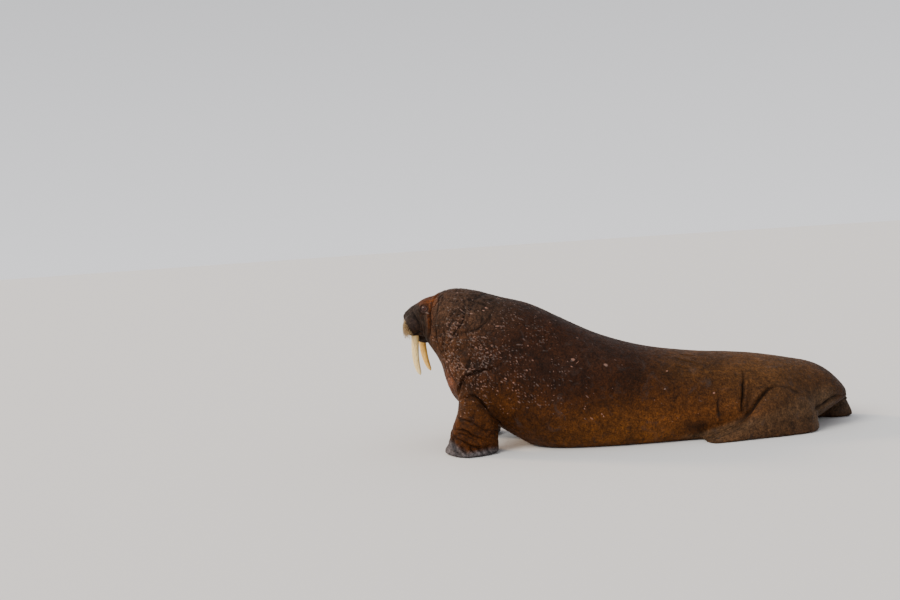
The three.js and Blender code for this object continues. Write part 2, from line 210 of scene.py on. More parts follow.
def paint(tree, shader, colour):
    tree.links.new(colour, shader.inputs["Base Color"])


def addRelief(tree, shader, height, strength, distance):
    relief = nodeIn(tree, "Bump", {"Strength": strength, "Distance": distance, "Height": height})
    tree.links.new(relief.outputs["Normal"], shader.inputs["Normal"])


def attributeIn(tree, name):
    return nodeIn(tree, "Attribute", attribute_name=name)


# Head's own frame: forward of the muzzle's front, to its left, and up from the floor

def middleOf(node):
    low, high = boxes[node]
    return Vector((low + high) / 2)


eyeBehind = 0.214  # from the muzzle's front back to the eyes
eyeLeft = middleOf("eye_left")
eyeRight = middleOf("eye_right")
leftward = (eyeLeft - eyeRight).normalized()
forward = leftward.cross(up)
eyesMiddle = (eyeLeft + eyeRight) / 2


def atHead(f, l, u):
    p = eyesMiddle + forward * (f + eyeBehind) + leftward * l
    p.z = u
    return p


def toHead(co):
    away = co - np.array(eyesMiddle)
    return away @ np.array(forward) - eyeBehind, away @ np.array(leftward), co[:, 2]


def eyesAway(co):
    return np.minimum(awayFrom(co, eyeLeft), awayFrom(co, eyeRight))


# Camera, floor and lights

view = {
    "at": (-1.2306, -7.2729, 1.4524),
    "down": 3.43,
    "roll": -3.8,
    "lens": 42,
    "sensor": 36,
    "far": 400,
}

stagePlan = {
    "radius": 120,
    "segments": 96,
    "roughness": 0.9,
    "floor": (0.74, 0.74, 0.74, 1),
    "sky": (0.97, 0.97, 1.0, 1),
    "horizon": 1.20,  # strength of the sky low down, and higher up
    "zenith": 0.82,
    "zenithFrom": 0.30,  # sine of the angle above the horizon
}

lamps = {
    "key": {"from": (-4.6, -3.2, 4.6), "angle": 32, "power": 2.6, "colour": (1, 0.95, 0.86)},
    "rim": {"from": (-5.4, 3.2, 3.0), "angle": 12, "power": 1.7, "colour": (1, 0.70, 0.45)},
}


def placeCamera():
    data = bpy.data.cameras.new("photoCamera")
    data.lens = view["lens"]
    data.sensor_width = view["sensor"]
    data.clip_end = view["far"]
    camera = addObject("photoCamera", data)
    tilt = Matrix.Rotation(math.radians(90 - view["down"]), 4, "X")
    roll = Matrix.Rotation(math.radians(view["roll"]), 4, "Z")
    camera.matrix_world = Matrix.Translation(view["at"]) @ tilt @ roll
    scene.camera = camera


def layFloor():
    bm = bmesh.new()
    plan = stagePlan
    bmesh.ops.create_circle(bm, cap_ends=True, segments=plan["segments"], radius=plan["radius"])
    floor = newObject("floor", bm)
    material, tree, shader = newMaterial("paleFloor", plan["roughness"])
    shader.inputs["Base Color"].default_value = plan["floor"]
    floor.data.materials.append(material)


def hangSky():
    world = bpy.data.worlds.new("studio")
    world.use_nodes = True
    tree = world.node_tree
    way = nodeIn(tree, "TexCoord").outputs["Generated"]
    high = nodeIn(tree, "SeparateXYZ", {"Vector": way}).outputs["Z"]
    plan = stagePlan
    strength = rangeOf(tree, high, 0.0, plan["zenithFrom"], plan["horizon"], plan["zenith"])
    back = tree.nodes["Background"]
    back.inputs["Color"].default_value = plan["sky"]
    tree.links.new(strength, back.inputs["Strength"])
    scene.world = world


def hangLamps():
    for name, lamp in lamps.items():
        data = bpy.data.lights.new(name, "SUN")
        data.energy = lamp["power"]
        data.angle = math.radians(lamp["angle"])
        data.color = lamp["colour"]
        start = Vector(lamp["from"])
        turn = start.to_track_quat("Z", "Y").to_matrix().to_4x4()
        addObject(name, data).matrix_world = Matrix.Translation(start) @ turn


placeCamera()
layFloor()
hangSky()
hangLamps()
print("camera, floor and lamps in place")


# Skin: one surface over all the flesh

flippers = ["fore_flipper_left", "fore_flipper_right", "hind_flipper_left", "hind_flipper_right"]
flesh = ["muzzle", "head", "lower_jaw", "neck", "chest", "belly", "rump", "tail"] + flippers

skinPlan = {
    "headCentre": (-0.185, 0, 0.882),
    "headReach": 0.24,
    "headDetail": 5,
    "gap": 0.002,  # pieces of the model closer than this count as one
    "lip": 0.777,  # the pads' lower edge
    "fine": 0.008,
    "coarse": 0.021,
    "calm": 30,  # smoothing steps on the trunk
    "firm": 4,  # and on the head, hands and feet
    "stray": 0.0015,  # how far a point of the head may stand out of its neighbours
    # how near the head, a fold or an eye faces are split; a second value splits them once more
    "nearHead": 0.27,
    "nearFold": (0.045, 0.020),
    "nearEye": (0.052, 0.034),
}

headMiddle = np.array(atHead(*skinPlan["headCentre"]))


# How far the flesh reaches from a start inside it, through pieces that touch or overlap
def reachSkin(tree, start, way, most):
    far = 0.0
    tiny = 1e-5  # a start just past the face that was met
    while far < most:
        hit, normal, face, step = tree.ray_cast(start + way * far, way, most - far)
        if hit is None:
            return most
        far += step
        again = tree.ray_cast(start + way * (far + tiny), way, skinPlan["gap"])
        if again[0] is None:
            return far
        far += again[3] + 2 * tiny
    return most


# A ball whose points are moved out to where the head's flesh ends
def wrapHead():
    front = flesh[:5] + ["eye_left", "eye_right", "tusk_left", "tusk_right"]  # from muzzle to chest
    tree = treeOf(*[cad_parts[node].data for node in front])
    ball = bmesh.new()
    bmesh.ops.create_icosphere(ball, subdivisions=skinPlan["headDetail"], radius=1)
    centre = atHead(*skinPlan["headCentre"])
    ball.verts.ensure_lookup_table()
    ways = [vert.co.normalized() for vert in ball.verts]
    fars = [reachSkin(tree, centre, way, skinPlan["headReach"]) for way in ways]
    for i, way in enumerate(ways):
        low = centre.z + way.z * fars[i]
        if way.z < 0 and low < skinPlan["lip"]:
            fars[i] = min(fars[i], (skinPlan["lip"] - centre.z) / way.z)
    # a spine's root shows as one point standing out of its neighbours
    for step in range(3):
        calmer = list(fars)
        for i, vert in enumerate(ball.verts):
            around = sorted(fars[edge.other_vert(vert).index] for edge in vert.link_edges)
            calmer[i] = min(fars[i], around[len(around) // 2] + skinPlan["stray"])
        fars = calmer
    for vert, way, far in zip(ball.verts, ways, fars):
        vert.co = centre + way * far
    smoothVerts(ball, ball.verts, 3)
    return ball


# How much the joined flesh is smoothed at each point: 1 on the trunk, least on the head and flippers
def calmness(co):
    calm = smooth(0.20, 0.36, awayFrom(co, headMiddle))
    for node in flippers:
        low, high = boxes[node]
        inside = np.ones(len(co))
        for k in range(3):
            inside *= smooth(low[k] - 0.08, low[k] - 0.01, co[:, k])
            inside *= 1 - smooth(high[k] + 0.01, high[k] + 0.08, co[:, k])
        if node.startswith("fore"):
            inside *= 1 - 0.75 * smooth(0.10, 0.34, co[:, 2])
        calm *= 1 - inside
    return calm


def joinFlesh():
    ball = wrapHead()
    for node in flesh[2:]:  # the ball stands for muzzle and head
        ball.from_mesh(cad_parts[node].data)
    form = newObject("form", ball)
    voxelRemesh(form, skinPlan["fine"])
    bm = meshCopy(form.data)
    bm.verts.ensure_lookup_table()
    times = skinPlan["firm"] + (skinPlan["calm"] - skinPlan["firm"]) * calmness(pointsOf(form.data))
    for i in range(skinPlan["calm"]):
        smoothVerts(bm, [bm.verts[k] for k in np.nonzero(times > i)[0]], 1)
    writeBack(bm, form)
    return form


form = joinFlesh()
formTree = treeOf(form.data)
print("flesh joined:", len(form.data.polygons), "faces")


def splitRegion(bm, wanted):
    centres = np.array([face.calc_center_median()[:] for face in bm.faces])
    bm.faces.ensure_lookup_table()
    faces = [bm.faces[k] for k in np.nonzero(wanted(centres))[0]]
    edges = list({edge for face in faces for edge in face.edges})
    bmesh.ops.subdivide_edges(bm, edges=edges, cuts=1, use_grid_fill=True)


def nearHead(co):
    return awayFrom(co, headMiddle) < skinPlan["nearHead"]


def nearFrontOrLimbs(co):
    wanted = (co[:, 0] < -0.93) & (co[:, 2] > 0.02)
    for node in ("fore_flipper_left", "hind_flipper_left", "fore_flipper_right"):
        low, high = boxes[node]
        wanted |= insideBox(co, low - 0.03, high + 0.03) & (co[:, 2] > 0.012)
    return wanted | nearHead(co)


# Folds of the skin, by points in the side view (x, z); width, depth and overlap in metres, and dark,
# the share of painted shade in the groove

def crease(width, depth, over, *points, dark=1):
    return {"width": width, "depth": depth, "over": over, "points": points, "dark": dark}


folds = {
    "overArm": crease(
        0.008, 0.020, 0.012, (-1.205, 0.374), (-1.152, 0.389), (-1.108, 0.390), (-1.066, 0.355),
        (-1.036, 0.310), (-0.995, 0.254), (-0.950, 0.188), (-0.905, 0.130),
    ),
    "shoulder": crease(
        0.008, 0.019, 0.010, (-1.212, 0.400), (-1.208, 0.440), (-1.190, 0.485), (-1.160, 0.522),
        (-1.097, 0.547), (-1.031, 0.563), (-0.95, 0.571),
    ),
    "underShoulder": crease(
        0.006, 0.010, 0.005, (-1.101, 0.345), (-1.070, 0.322), (-1.048, 0.300), (-1.006, 0.256),
        (-0.965, 0.185),
    ),
    "armHigh": crease(
        0.006, 0.015, 0.009, (-1.223, 0.247), (-1.201, 0.242), (-1.152, 0.230), (-1.110, 0.201),
        (-1.068, 0.169), (-1.030, 0.143),
    ),
    "armMiddle": crease(
        0.006, 0.016, 0.010, (-1.255, 0.174), (-1.210, 0.176), (-1.173, 0.164), (-1.142, 0.135),
        (-1.093, 0.115), (-1.051, 0.088),
    ),
    "armLow": crease(
        0.006, 0.015, 0.009, (-1.275, 0.124), (-1.237, 0.115), (-1.199, 0.093), (-1.158, 0.068),
        (-1.109, 0.052), (-1.06, 0.040),
    ),
    "armBetween": crease(
        0.005, 0.010, 0.006, (-1.245, 0.150), (-1.200, 0.146), (-1.160, 0.122), (-1.120, 0.100),
    ),
    "elbow": crease(
        0.007, 0.010, 0.006, (-1.030, 0.120), (-1.008, 0.145), (-0.985, 0.152), (-0.960, 0.140),
        (-0.942, 0.110),
    ),
    "flank": crease(
        0.008, 0.022, 0.009, (0.695, 0.425), (0.689, 0.387), (0.672, 0.340), (0.662, 0.290),
        (0.650, 0.239), (0.648, 0.19), (0.652, 0.152),
    ),
    "flankFaint": crease(
        0.008, 0.008, 0.003, (0.505, 0.290), (0.490, 0.250), (0.487, 0.212), (0.493, 0.16),
        (0.500, 0.115),
    ),
    "footTop": crease(
        0.009, 0.016, 0.008, (0.60, 0.10), (0.656, 0.132), (0.706, 0.184), (0.757, 0.245),
        (0.807, 0.290), (0.845, 0.314), (0.90, 0.326),
    ),
    "heel": crease(
        0.012, 0.008, 0.003, (0.900, 0.326), (0.964, 0.311), (1.020, 0.280), (1.077, 0.245), dark=0.6,
    ),
    "rump": crease(
        0.009, 0.018, 0.010, (1.46, 0.20), (1.321, 0.207), (1.251, 0.183), (1.184, 0.156),
        (1.073, 0.130),
    ),
    "backOne": crease(0.008, 0.005, 0.003, (0.273, 0.531), (0.335, 0.510), (0.388, 0.496), dark=0.6),
    "backTwo": crease(0.008, 0.005, 0.003, (0.245, 0.495), (0.290, 0.480), (0.350, 0.464), dark=0.6),
    "backThree": crease(0.008, 0.004, 0.002, (0.311, 0.548), (0.36, 0.54), (0.411, 0.530), dark=0.5),
    "headEdge": crease(
        0.008, 0.016, -0.008, (-1.318, 1.058), (-1.350, 1.009), (-1.361, 0.976), (-1.376, 0.937),
        (-1.373, 0.885), (-1.379, 0.844), (-1.385, 0.803), (-1.396, 0.759),
    ),
    "nape": crease(
        0.007, 0.006, 0.003, (-1.301, 1.060), (-1.311, 1.002), (-1.320, 0.963), (-1.334, 0.898),
    ),
    "throatOne": crease(
        0.007, 0.010, 0.005, (-1.338, 0.905), (-1.339, 0.832), (-1.336, 0.763), (-1.325, 0.710),
        (-1.303, 0.653),
    ),
    "throatTwo": crease(
        0.007, 0.009, 0.004, (-1.278, 0.830), (-1.285, 0.780), (-1.298, 0.723), (-1.298, 0.625),
    ),
    "throatThree": crease(
        0.008, 0.009, 0.004, (-1.152, 1.050), (-1.131, 0.994), (-1.153, 0.892), (-1.211, 0.817),
        (-1.245, 0.765), (-1.262, 0.72),
    ),
    "neckLong": crease(
        0.008, 0.008, 0.004, (-0.979, 0.882), (-1.014, 0.862), (-1.050, 0.835), (-1.090, 0.822),
        (-1.132, 0.813), (-1.212, 0.803),
    ),
    "neckLow": crease(
        0.008, 0.010, 0.005, (-1.275, 0.600), (-1.262, 0.545), (-1.240, 0.500), (-1.218, 0.470),
    ),
}


def curveThrough(points, steps=5):
    ends = [2 * points[0] - points[1]] + list(points) + [2 * points[-1] - points[-2]]
    line = []
    for a, b, c, d in zip(ends, ends[1:], ends[2:], ends[3:]):
        square = 2 * a - 5 * b + 4 * c - d
        cube = 3 * b - a - 3 * c + d
        for i in range(steps):
            t = i / steps
            line.append(0.5 * (2 * b + (c - a) * t + square * t**2 + cube * t**3))
    return np.array(line + [points[-1]])


def onSide(x, z, side):
    return formTree.ray_cast(Vector((x, side * 3, z)), Vector((0, -side, 0)), 3)[0]


def boxRound(co, line, reach):
    return np.nonzero(insideBox(co, line.min(0) - reach, line.max(0) + reach))[0]


# How far off the line each point is, its share along it, the way across and the line's own way there
def nearLine(co, line):
    far = np.full(len(co), 9.0)
    along = np.zeros(len(co))
    across = np.zeros((len(co), 3))
    run = np.zeros((len(co), 3))
    for i, (a, b) in enumerate(zip(line, line[1:])):
        d = b - a
        t = np.clip(((co - a) @ d) / max(d @ d, 1e-12), 0, 1)
        away = co - (a + t[:, None] * d)
        step = np.linalg.norm(away, axis=1)
        closer = step < far
        far[closer] = step[closer]
        along[closer] = (i + t[closer]) / (len(line) - 1)
        across[closer] = away[closer]
        run[closer] = d
    return far, along, across, run


# Hind feet: gaps between toes, and nails, as metres outward from the line between heel and tip
footPlan = {
    "left": {
        "heel": (1.204, -0.263), "tip": (0.346, -0.475), "side": -1,
        "gaps": (0.004, 0.034, 0.064), "nails": (0.019, 0.049, 0.078),
    },
    "right": {
        "heel": (1.576, 0.089), "tip": (0.914, 0.452), "side": 1,
        "gaps": (0.052, 0.078, 0.104), "nails": (0.040, 0.065, 0.091),
    },
}
toeFold = crease(0.009, 0.011, 0.003, dark=0.7)
toeShares = (0.70, 0.76, 0.82, 0.87, 0.90)  # from heel to tip
toeHeights = (0.030, 0.018, 0.008)  # on the front wall


def footWay(plan):
    return (Vector(plan["tip"]) - Vector(plan["heel"])).normalized()


def footPoint(plan, share, outward):
    way = footWay(plan)
    middle = Vector(plan["heel"]).lerp(Vector(plan["tip"]), share)
    return middle + Vector((way.y, -way.x)) * outward * plan["side"]


def onTop(tree, x, y, high=0.20):
    return tree.ray_cast(Vector((x, y, high)), -up, 1)[0]


# The front wall of a hind foot, met from beyond its tip
def toeEdge(tree, plan, outward, z):
    start = Vector((*footPoint(plan, 1.0, outward), z))
    return tree.ray_cast(start, Vector((*-footWay(plan), 0)), 0.2)[0]


def toeLine(plan, outward):
    hits = [onTop(formTree, *footPoint(plan, share, outward), 0.15) for share in toeShares]
    hits += [toeEdge(formTree, plan, outward, z) for z in toeHeights]
    return asArrays(hits)


# Every fold as a line of points on the form, with its width, depth and overlap
def traceFolds():
    draw = random.Random(31)
    lines = []
    for side in (-1, 1):
        for name, fold in folds.items():
            back, rise = 0.0, 0.0
            if side > 0:
                back, rise = draw.uniform(-0.02, 0.03), draw.uniform(-0.012, 0.012)
            if side > 0 and (name == "shoulder" or "arm" in name.lower()):
                back, rise = 0.048, 0  # the right arm stands further back
            points = asArrays(onSide(x + back, z + rise, side) for x, z in fold["points"])
            if len(points) > 2:
                lines.append((curveThrough(points), dict(fold, over=fold["over"] * -side)))
    for plan in footPlan.values():
        lines += [(curveThrough(toeLine(plan, outward)), toeFold) for outward in plan["gaps"]]
    return lines


def nearFolds(co, reach):
    wanted = np.zeros(len(co), bool)
    for line, fold in foldLines:
        near = boxRound(co, line, reach)
        if len(near):
            wanted[near] |= nearLine(co[near], line)[0] < reach
    return wanted


foldLines = traceFolds()


def coverForm(form):
    skin = newObject("skin", bmesh.new())
    skin.data = form.data.copy()
    voxelRemesh(skin, skinPlan["coarse"])
    bm = meshCopy(skin.data)
    foldReach, eyeReach = skinPlan["nearFold"], skinPlan["nearEye"]
    splitRegion(bm, lambda co: nearFrontOrLimbs(co) | nearFolds(co, foldReach[0]))
    splitRegion(bm, lambda co: nearHead(co) | nearFolds(co, foldReach[1]))
    splitRegion(bm, lambda co: eyesAway(co) < eyeReach[0])
    splitRegion(bm, lambda co: eyesAway(co) < eyeReach[1])
    for vert in bm.verts:
        vert.co = formTree.find_nearest(vert.co)[0]
    smoothVerts(bm, bm.verts, 2)
    bmesh.ops.recalc_face_normals(bm, faces=bm.faces)
    writeBack(bm, skin)
    return skin


skin = coverForm(form)
bpy.data.objects.remove(form)
print("skin laid:", len(skin.data.polygons), "faces")


# Sinks a fold into the skin, lifts the side that laps over it, and paints shade along its groove
def pressFold(co, normals, line, fold, paintedShade):
    reach = 6 * fold["width"]
    near = boxRound(co, line, reach)
    far, along, across, run = nearLine(co[near], line)
    side = np.sign(np.einsum("ij,ij->i", np.cross(run, across), normals[near]))
    fade = np.sqrt(np.clip(np.sin(np.pi * np.clip(along, 0.02, 0.98)), 0, 1))
    fade *= far < reach
    cut = np.exp(-((far / fold["width"]) ** 1.5))
    signed = far * side * math.copysign(1, fold["over"])
    lap = np.exp(-(((signed - 2.4 * fold["width"]) / (1.5 * fold["width"])) ** 2))
    lift = fade * (abs(fold["over"]) * lap - fold["depth"] * cut)
    co[near] += normals[near] * lift[:, None]
    # painted shade along the groove
    paintedShade[near] = np.maximum(paintedShade[near], fade * cut * fold["dark"])


def pressFolds(co, normals, paintedShade):
    for line, fold in foldLines:
        pressFold(co, normals, line, fold, paintedShade)


# Folds of the face, by points in the head's own side view (f, u)
faceFolds = {
    "padEdge": crease(
        0.007, 0.008, 0.006, (-0.105, 0.952), (-0.125, 0.935), (-0.145, 0.908), (-0.164, 0.881),
        (-0.176, 0.847), (-0.165, 0.812),
    ),
    "cheekOne": crease(
        0.006, 0.005, 0.004, (-0.150, 0.955), (-0.168, 0.915), (-0.190, 0.867), (-0.198, 0.825),
        (-0.190, 0.790),
    ),
    "cheekTwo": crease(
        0.007, 0.006, 0.003, (-0.205, 0.935), (-0.214, 0.890), (-0.222, 0.845), (-0.218, 0.800),
    ),
    "bridge": crease(
        0.006, 0.005, 0.004, (-0.142, 1.018), (-0.160, 0.995), (-0.176, 0.968), (-0.184, 0.945),
    ),
    "mouthCorner": crease(
        0.006, 0.010, 0.004, (-0.120, 0.797), (-0.145, 0.802), (-0.168, 0.812), (-0.185, 0.808),
    ),
    "browBack": crease(
        0.008, 0.006, 0.004, (-0.262, 1.030), (-0.276, 0.985), (-0.272, 0.940), (-0.255, 0.900),
    ),
}

facePlan = {
    "nostril": {
        "at": (-0.018, 0.024, 0.934), "size": (0.017, 0.0075, 0.016), "depth": 0.013, "rim": 0.0028,
    },
    "middleGroove": {"depth": 0.011, "width": 0.010},
    "wrinkle": 0.0006,
}


def onFace(f, u, side):
    return formTree.ray_cast(atHead(f, side * 0.5, u), leftward * -side, 0.5)[0]


def pressFace(co, normals, paintedShade):
    for side in (-1, 1):
        for fold in faceFolds.values():
            points = asArrays(onFace(f, u, side) for f, u in fold["points"])
            pressFold(co, normals, curveThrough(points), dict(fold, over=fold["over"] * side), paintedShade)
    f, l, u = toHead(co)
    near = 1 - smooth(0.22, 0.28, awayFrom(co, headMiddle))
    groove = facePlan["middleGroove"]
    middle = bump(l, 0, groove["width"]) * smooth(-0.13, -0.08, f)
    middle *= smooth(0.78, 0.80, u)
    middle *= 1 - smooth(0.885, 0.915, u)
    lift = -groove["depth"] * middle
    # painted shade in the groove down the middle of the muzzle
    paintedShade[:] = np.maximum(paintedShade, 0.8 * middle)
    # each nostril is a crescent, open to the side
    hole = facePlan["nostril"]
    at, size = hole["at"], hole["size"]
    bend = 0.35 * (u - at[2]) ** 2 / size[2]
    d = ((f - at[0]) / size[0]) ** 2 + ((np.abs(l) - at[1] - bend) / size[1]) ** 2
    d += ((u - at[2]) / size[2]) ** 2
    pit = np.exp(-(d ** 1.5))
    rim = np.exp(-((np.sqrt(d) - 1.7) / 0.6) ** 2)
    lift += near * (hole["rim"] * rim - hole["depth"] * pit)
    # painted shade in the nostril pits
    paintedShade[:] = np.maximum(paintedShade, near * np.minimum(1, 1.6 * pit))
    # the muzzle's skin wrinkles across the bridge
    wave = np.sin(330 * f + 3 * np.sin(40 * l) + 5 * np.sin(17 * u)) * smooth(-0.17, -0.12, f)
    wave *= smooth(0.90, 0.94, u)
    lift += facePlan["wrinkle"] * wave * near
    co += normals * lift[:, None]


eyePlan = {
    "radius": 0.0198,
    "segments": 48,
    "rings": 32,
    "outward": 0.95,  # the gaze, to the side and ahead
    "ahead": 0.26,
    "half": (0.0142, 0.0116),  # half the opening, along and across
    "sunk": 0.013,
    "lidThick": 0.0026,
    "goggle": 0.0050,  # height of the ring round the lids
}


def gazeOf(side):
    return (leftward * side * eyePlan["outward"] + forward * eyePlan["ahead"]).normalized()


# Height of lids and goggle ring over the head; rho is 1 at the opening's edge and grows outwards
def lidHeight(a, b, rho):
    ball = np.sqrt(np.maximum(eyePlan["radius"] ** 2 - a * a - b * b, 0)) - eyePlan["sunk"]
    base = -(a * a) / 0.26 - (b * b) / 0.20
    lid = np.maximum(ball + eyePlan["lidThick"], base)
    inner = smooth(0.98, 1.14, rho)
    lid = lid * inner + (ball - 0.007) * (1 - inner)
    toRing = smooth(1.45, 1.95, rho)
    turn = np.arctan2(-b, a)
    thick = 0.76 + 0.30 * np.sin(turn) + 0.10 * np.sin(5 * turn + 1)
    ring = base + eyePlan["goggle"] * thick * bump(rho, 2.55, 0.42) - 0.0015 * bump(rho, 1.95, 0.22)
    ring += 0.0007 * np.sin(11 * turn + 3 * np.sin(2 * turn)) * bump(rho, 2.3, 0.6)
    # a crease divides the upper lid
    lid += 0.0012 * bump(rho, 1.32, 0.10) - 0.0008 * bump(rho, 1.52, 0.08)
    return lid * (1 - toRing) + ring * toRing


# Shapes the skin round one eye; what comes back is how much of the lids' tint each point takes
def shapeEye(co, paintedShade, centre, side):
    out = gazeOf(side)
    along = (forward - out * forward.dot(out)).normalized()
    across = out.cross(along) * side
    away = co - np.array(centre + out * eyePlan["sunk"])
    a = away @ np.array(along)
    b = away @ np.array(across)
    h = away @ np.array(out)
    halfA, halfB = eyePlan["half"]
    # the opening is a soft almond, its corners a little lower in front
    tilt = b + 0.12 * a
    rho = np.sqrt((a / halfA) ** 2 + (tilt / (halfB * (1 + 0.06 * np.sign(tilt)))) ** 2)
    near = (rho < 4.4) & (np.abs(h) < 0.05)
    target = lidHeight(a[near], b[near], rho[near])
    keep = smooth(2.9, 4.0, rho[near])
    new = target * (1 - keep) + h[near] * keep
    co[near] += (new - h[near])[:, None] * np.array(out)
    under = np.clip(tilt / (np.hypot(a, b) + 1e-6), -1, 1)
    shade = np.maximum((0.75 - 0.2 * under) * bump(rho, 1.98, 0.16), 0.8 * bump(rho, 1.0, 0.12))
    paintedShade[:] = np.maximum(paintedShade, shade * (rho < 4) * near)
    goggle = (0.45 + 0.25 * under) * bump(rho, 2.55, 0.45)
    return near * np.maximum(0.9 * bump(rho, 1.45, 0.30), goggle)


# Grooves of the fingers, seen from above

handPlan = {
    "left": {"wrist": (-1.1376, -0.3289), "pointing": 116, "side": -1},
    "right": {"wrist": (-1.0896, 0.3771), "pointing": 108, "side": 1},
}
fingerGaps = (-0.138, -0.100, -0.055, -0.005, 0.050)
fingerFold = crease(0.009, 0.018, 0.004, dark=0.8)
fingerBacks = (0.13, 0.10, 0.07, 0.045, 0.025)  # behind the front wall
fingerHeights = (0.05, 0.035, 0.02, 0.008)  # on the front wall


# A place on the floor: far along the fingers from the wrist, across towards the tail
def handPoint(plan, far, across):
    turn = math.radians(plan["pointing"])
    way = Vector((-math.cos(turn), plan["side"] * math.sin(turn)))
    cross = Vector((-way.y, way.x)) * -plan["side"]
    p = Vector(plan["wrist"]) + way * far + cross * across
    return p.x, p.y


def onWall(tree, plan, across, z):
    start = Vector((*handPoint(plan, 0.45, across), z))
    inward = Vector((*handPoint(plan, 0, across), z)) - start
    return tree.ray_cast(start, inward.normalized(), 0.60)[0]


# How far along the fingers the hand's front wall stands
def wallReach(tree, plan, across):
    hit = onWall(tree, plan, across, 0.03)
    if hit is None:
        return None
    away = Vector(hit[:2]) - Vector(handPoint(plan, 0, across))
    return away.dot((Vector(handPoint(plan, 1, 0)) - Vector(plan["wrist"])).normalized())


def pressFingers(co, normals, paintedShade):
    for plan in handPlan.values():
        for across in fingerGaps:
            reach = wallReach(formTree, plan, across)
            if reach is None:
                continue
            starts = [handPoint(plan, reach - back, across) for back in fingerBacks]
            hits = [onTop(formTree, *start) for start in starts]
            hits += [onWall(formTree, plan, across, z) for z in fingerHeights]
            points = asArrays(hits)
            if len(points) > 2:
                pressFold(co, normals, curveThrough(points), fingerFold, paintedShade)


# Small creases on neck and arms, soft waves at the rear

# This is 1 where a noise crosses zero, 0 a little away from there
def seam(value, sharp):
    return max(0, 1 - sharp * abs(value))


def crumple(co, normals, paintedShade):
    lift = np.zeros(len(co))
    back, high = co[:, 0], co[:, 2]
    f = toHead(co)[0]
    neck = smooth(-0.23, -0.33, f) * (1 - smooth(-1.05, -0.70, back)) * smooth(0.30, 0.5, high)
    arm = (1 - smooth(0.22, 0.36, high)) * (1 - smooth(-1.0, -0.9, back)) * smooth(0.03, 0.07, high)
    rear = smooth(0.1, 0.5, back) * smooth(0.06, 0.12, high)
    # the creases of neck and arms also get painted shade
    for i, (x, y, z) in enumerate(co):
        if neck[i] > 0.02:
            w = noise.noise(Vector((6 * x, 6 * y, 6 * z)))
            n = noise.noise(Vector((34 * x + 5 * w, 9 * y + 40, 7 * z + 3 * w)))
            lift[i] += neck[i] * (-0.0075 * seam(n, 5) ** 2 + 0.002 * w)
            paintedShade[i] = max(paintedShade[i], 0.8 * neck[i] * seam(n, 7))
        if arm[i] > 0.02:
            n = noise.noise(Vector((13 * x - 10 * z, 9 * y, 34 * z + 14 * x)))
            lift[i] += arm[i] * -0.0060 * seam(n, 4.5) ** 2
            paintedShade[i] = max(paintedShade[i], 0.7 * arm[i] * seam(n, 7))
        if rear[i] > 0.02:
            n = noise.noise(Vector((7 * x, 5 * y, 4 * z)))
            lift[i] += rear[i] * 0.0022 * n
    co += normals * lift[:, None]


# Rounds the ridges between the folds of the arms, the far arm's more
def calmArms():
    bm = meshCopy(skin.data)
    front = [vert for vert in bm.verts if vert.co.x < -0.90 and 0.012 < vert.co.z < 0.62]
    smoothVerts(bm, [vert for vert in front if vert.co.z < 0.30], 1, 0.35)
    smoothVerts(bm, [vert for vert in front if vert.co.y > 0.16], 3)
    writeBack(bm, skin)


skinCo = pointsOf(skin.data)
skinNormals = vectorsOf(skin.data.vertex_normals, "vector")
# painted shade in folds, grooves, nostrils and round the eyes, from 0 to 1
paintedShade = np.zeros(len(skinCo))
crumple(skinCo, skinNormals, paintedShade)
pressFolds(skinCo, skinNormals, paintedShade)
pressFace(skinCo, skinNormals, paintedShade)
pressFingers(skinCo, skinNormals, paintedShade)
lids = shapeEye(skinCo, paintedShade, eyeLeft, 1) + shapeEye(skinCo, paintedShade, eyeRight, -1)
skinCo[:, 2] = np.maximum(skinCo[:, 2], 0)
skin.data.vertices.foreach_set("co", skinCo.astype(np.float32).ravel())
skin.data.update()
calmArms()
skinCo = pointsOf(skin.data)
addAttribute(skin.data, "paintedShade", np.clip(paintedShade, 0, 1))
shadeSmooth(skin)
skinFaces = [tuple(face.vertices) for face in skin.data.polygons]
skinTree = BVHTree.FromPolygons([tuple(point) for point in skinCo], skinFaces)
print("folds pressed")


# The hide's colours, painted by place

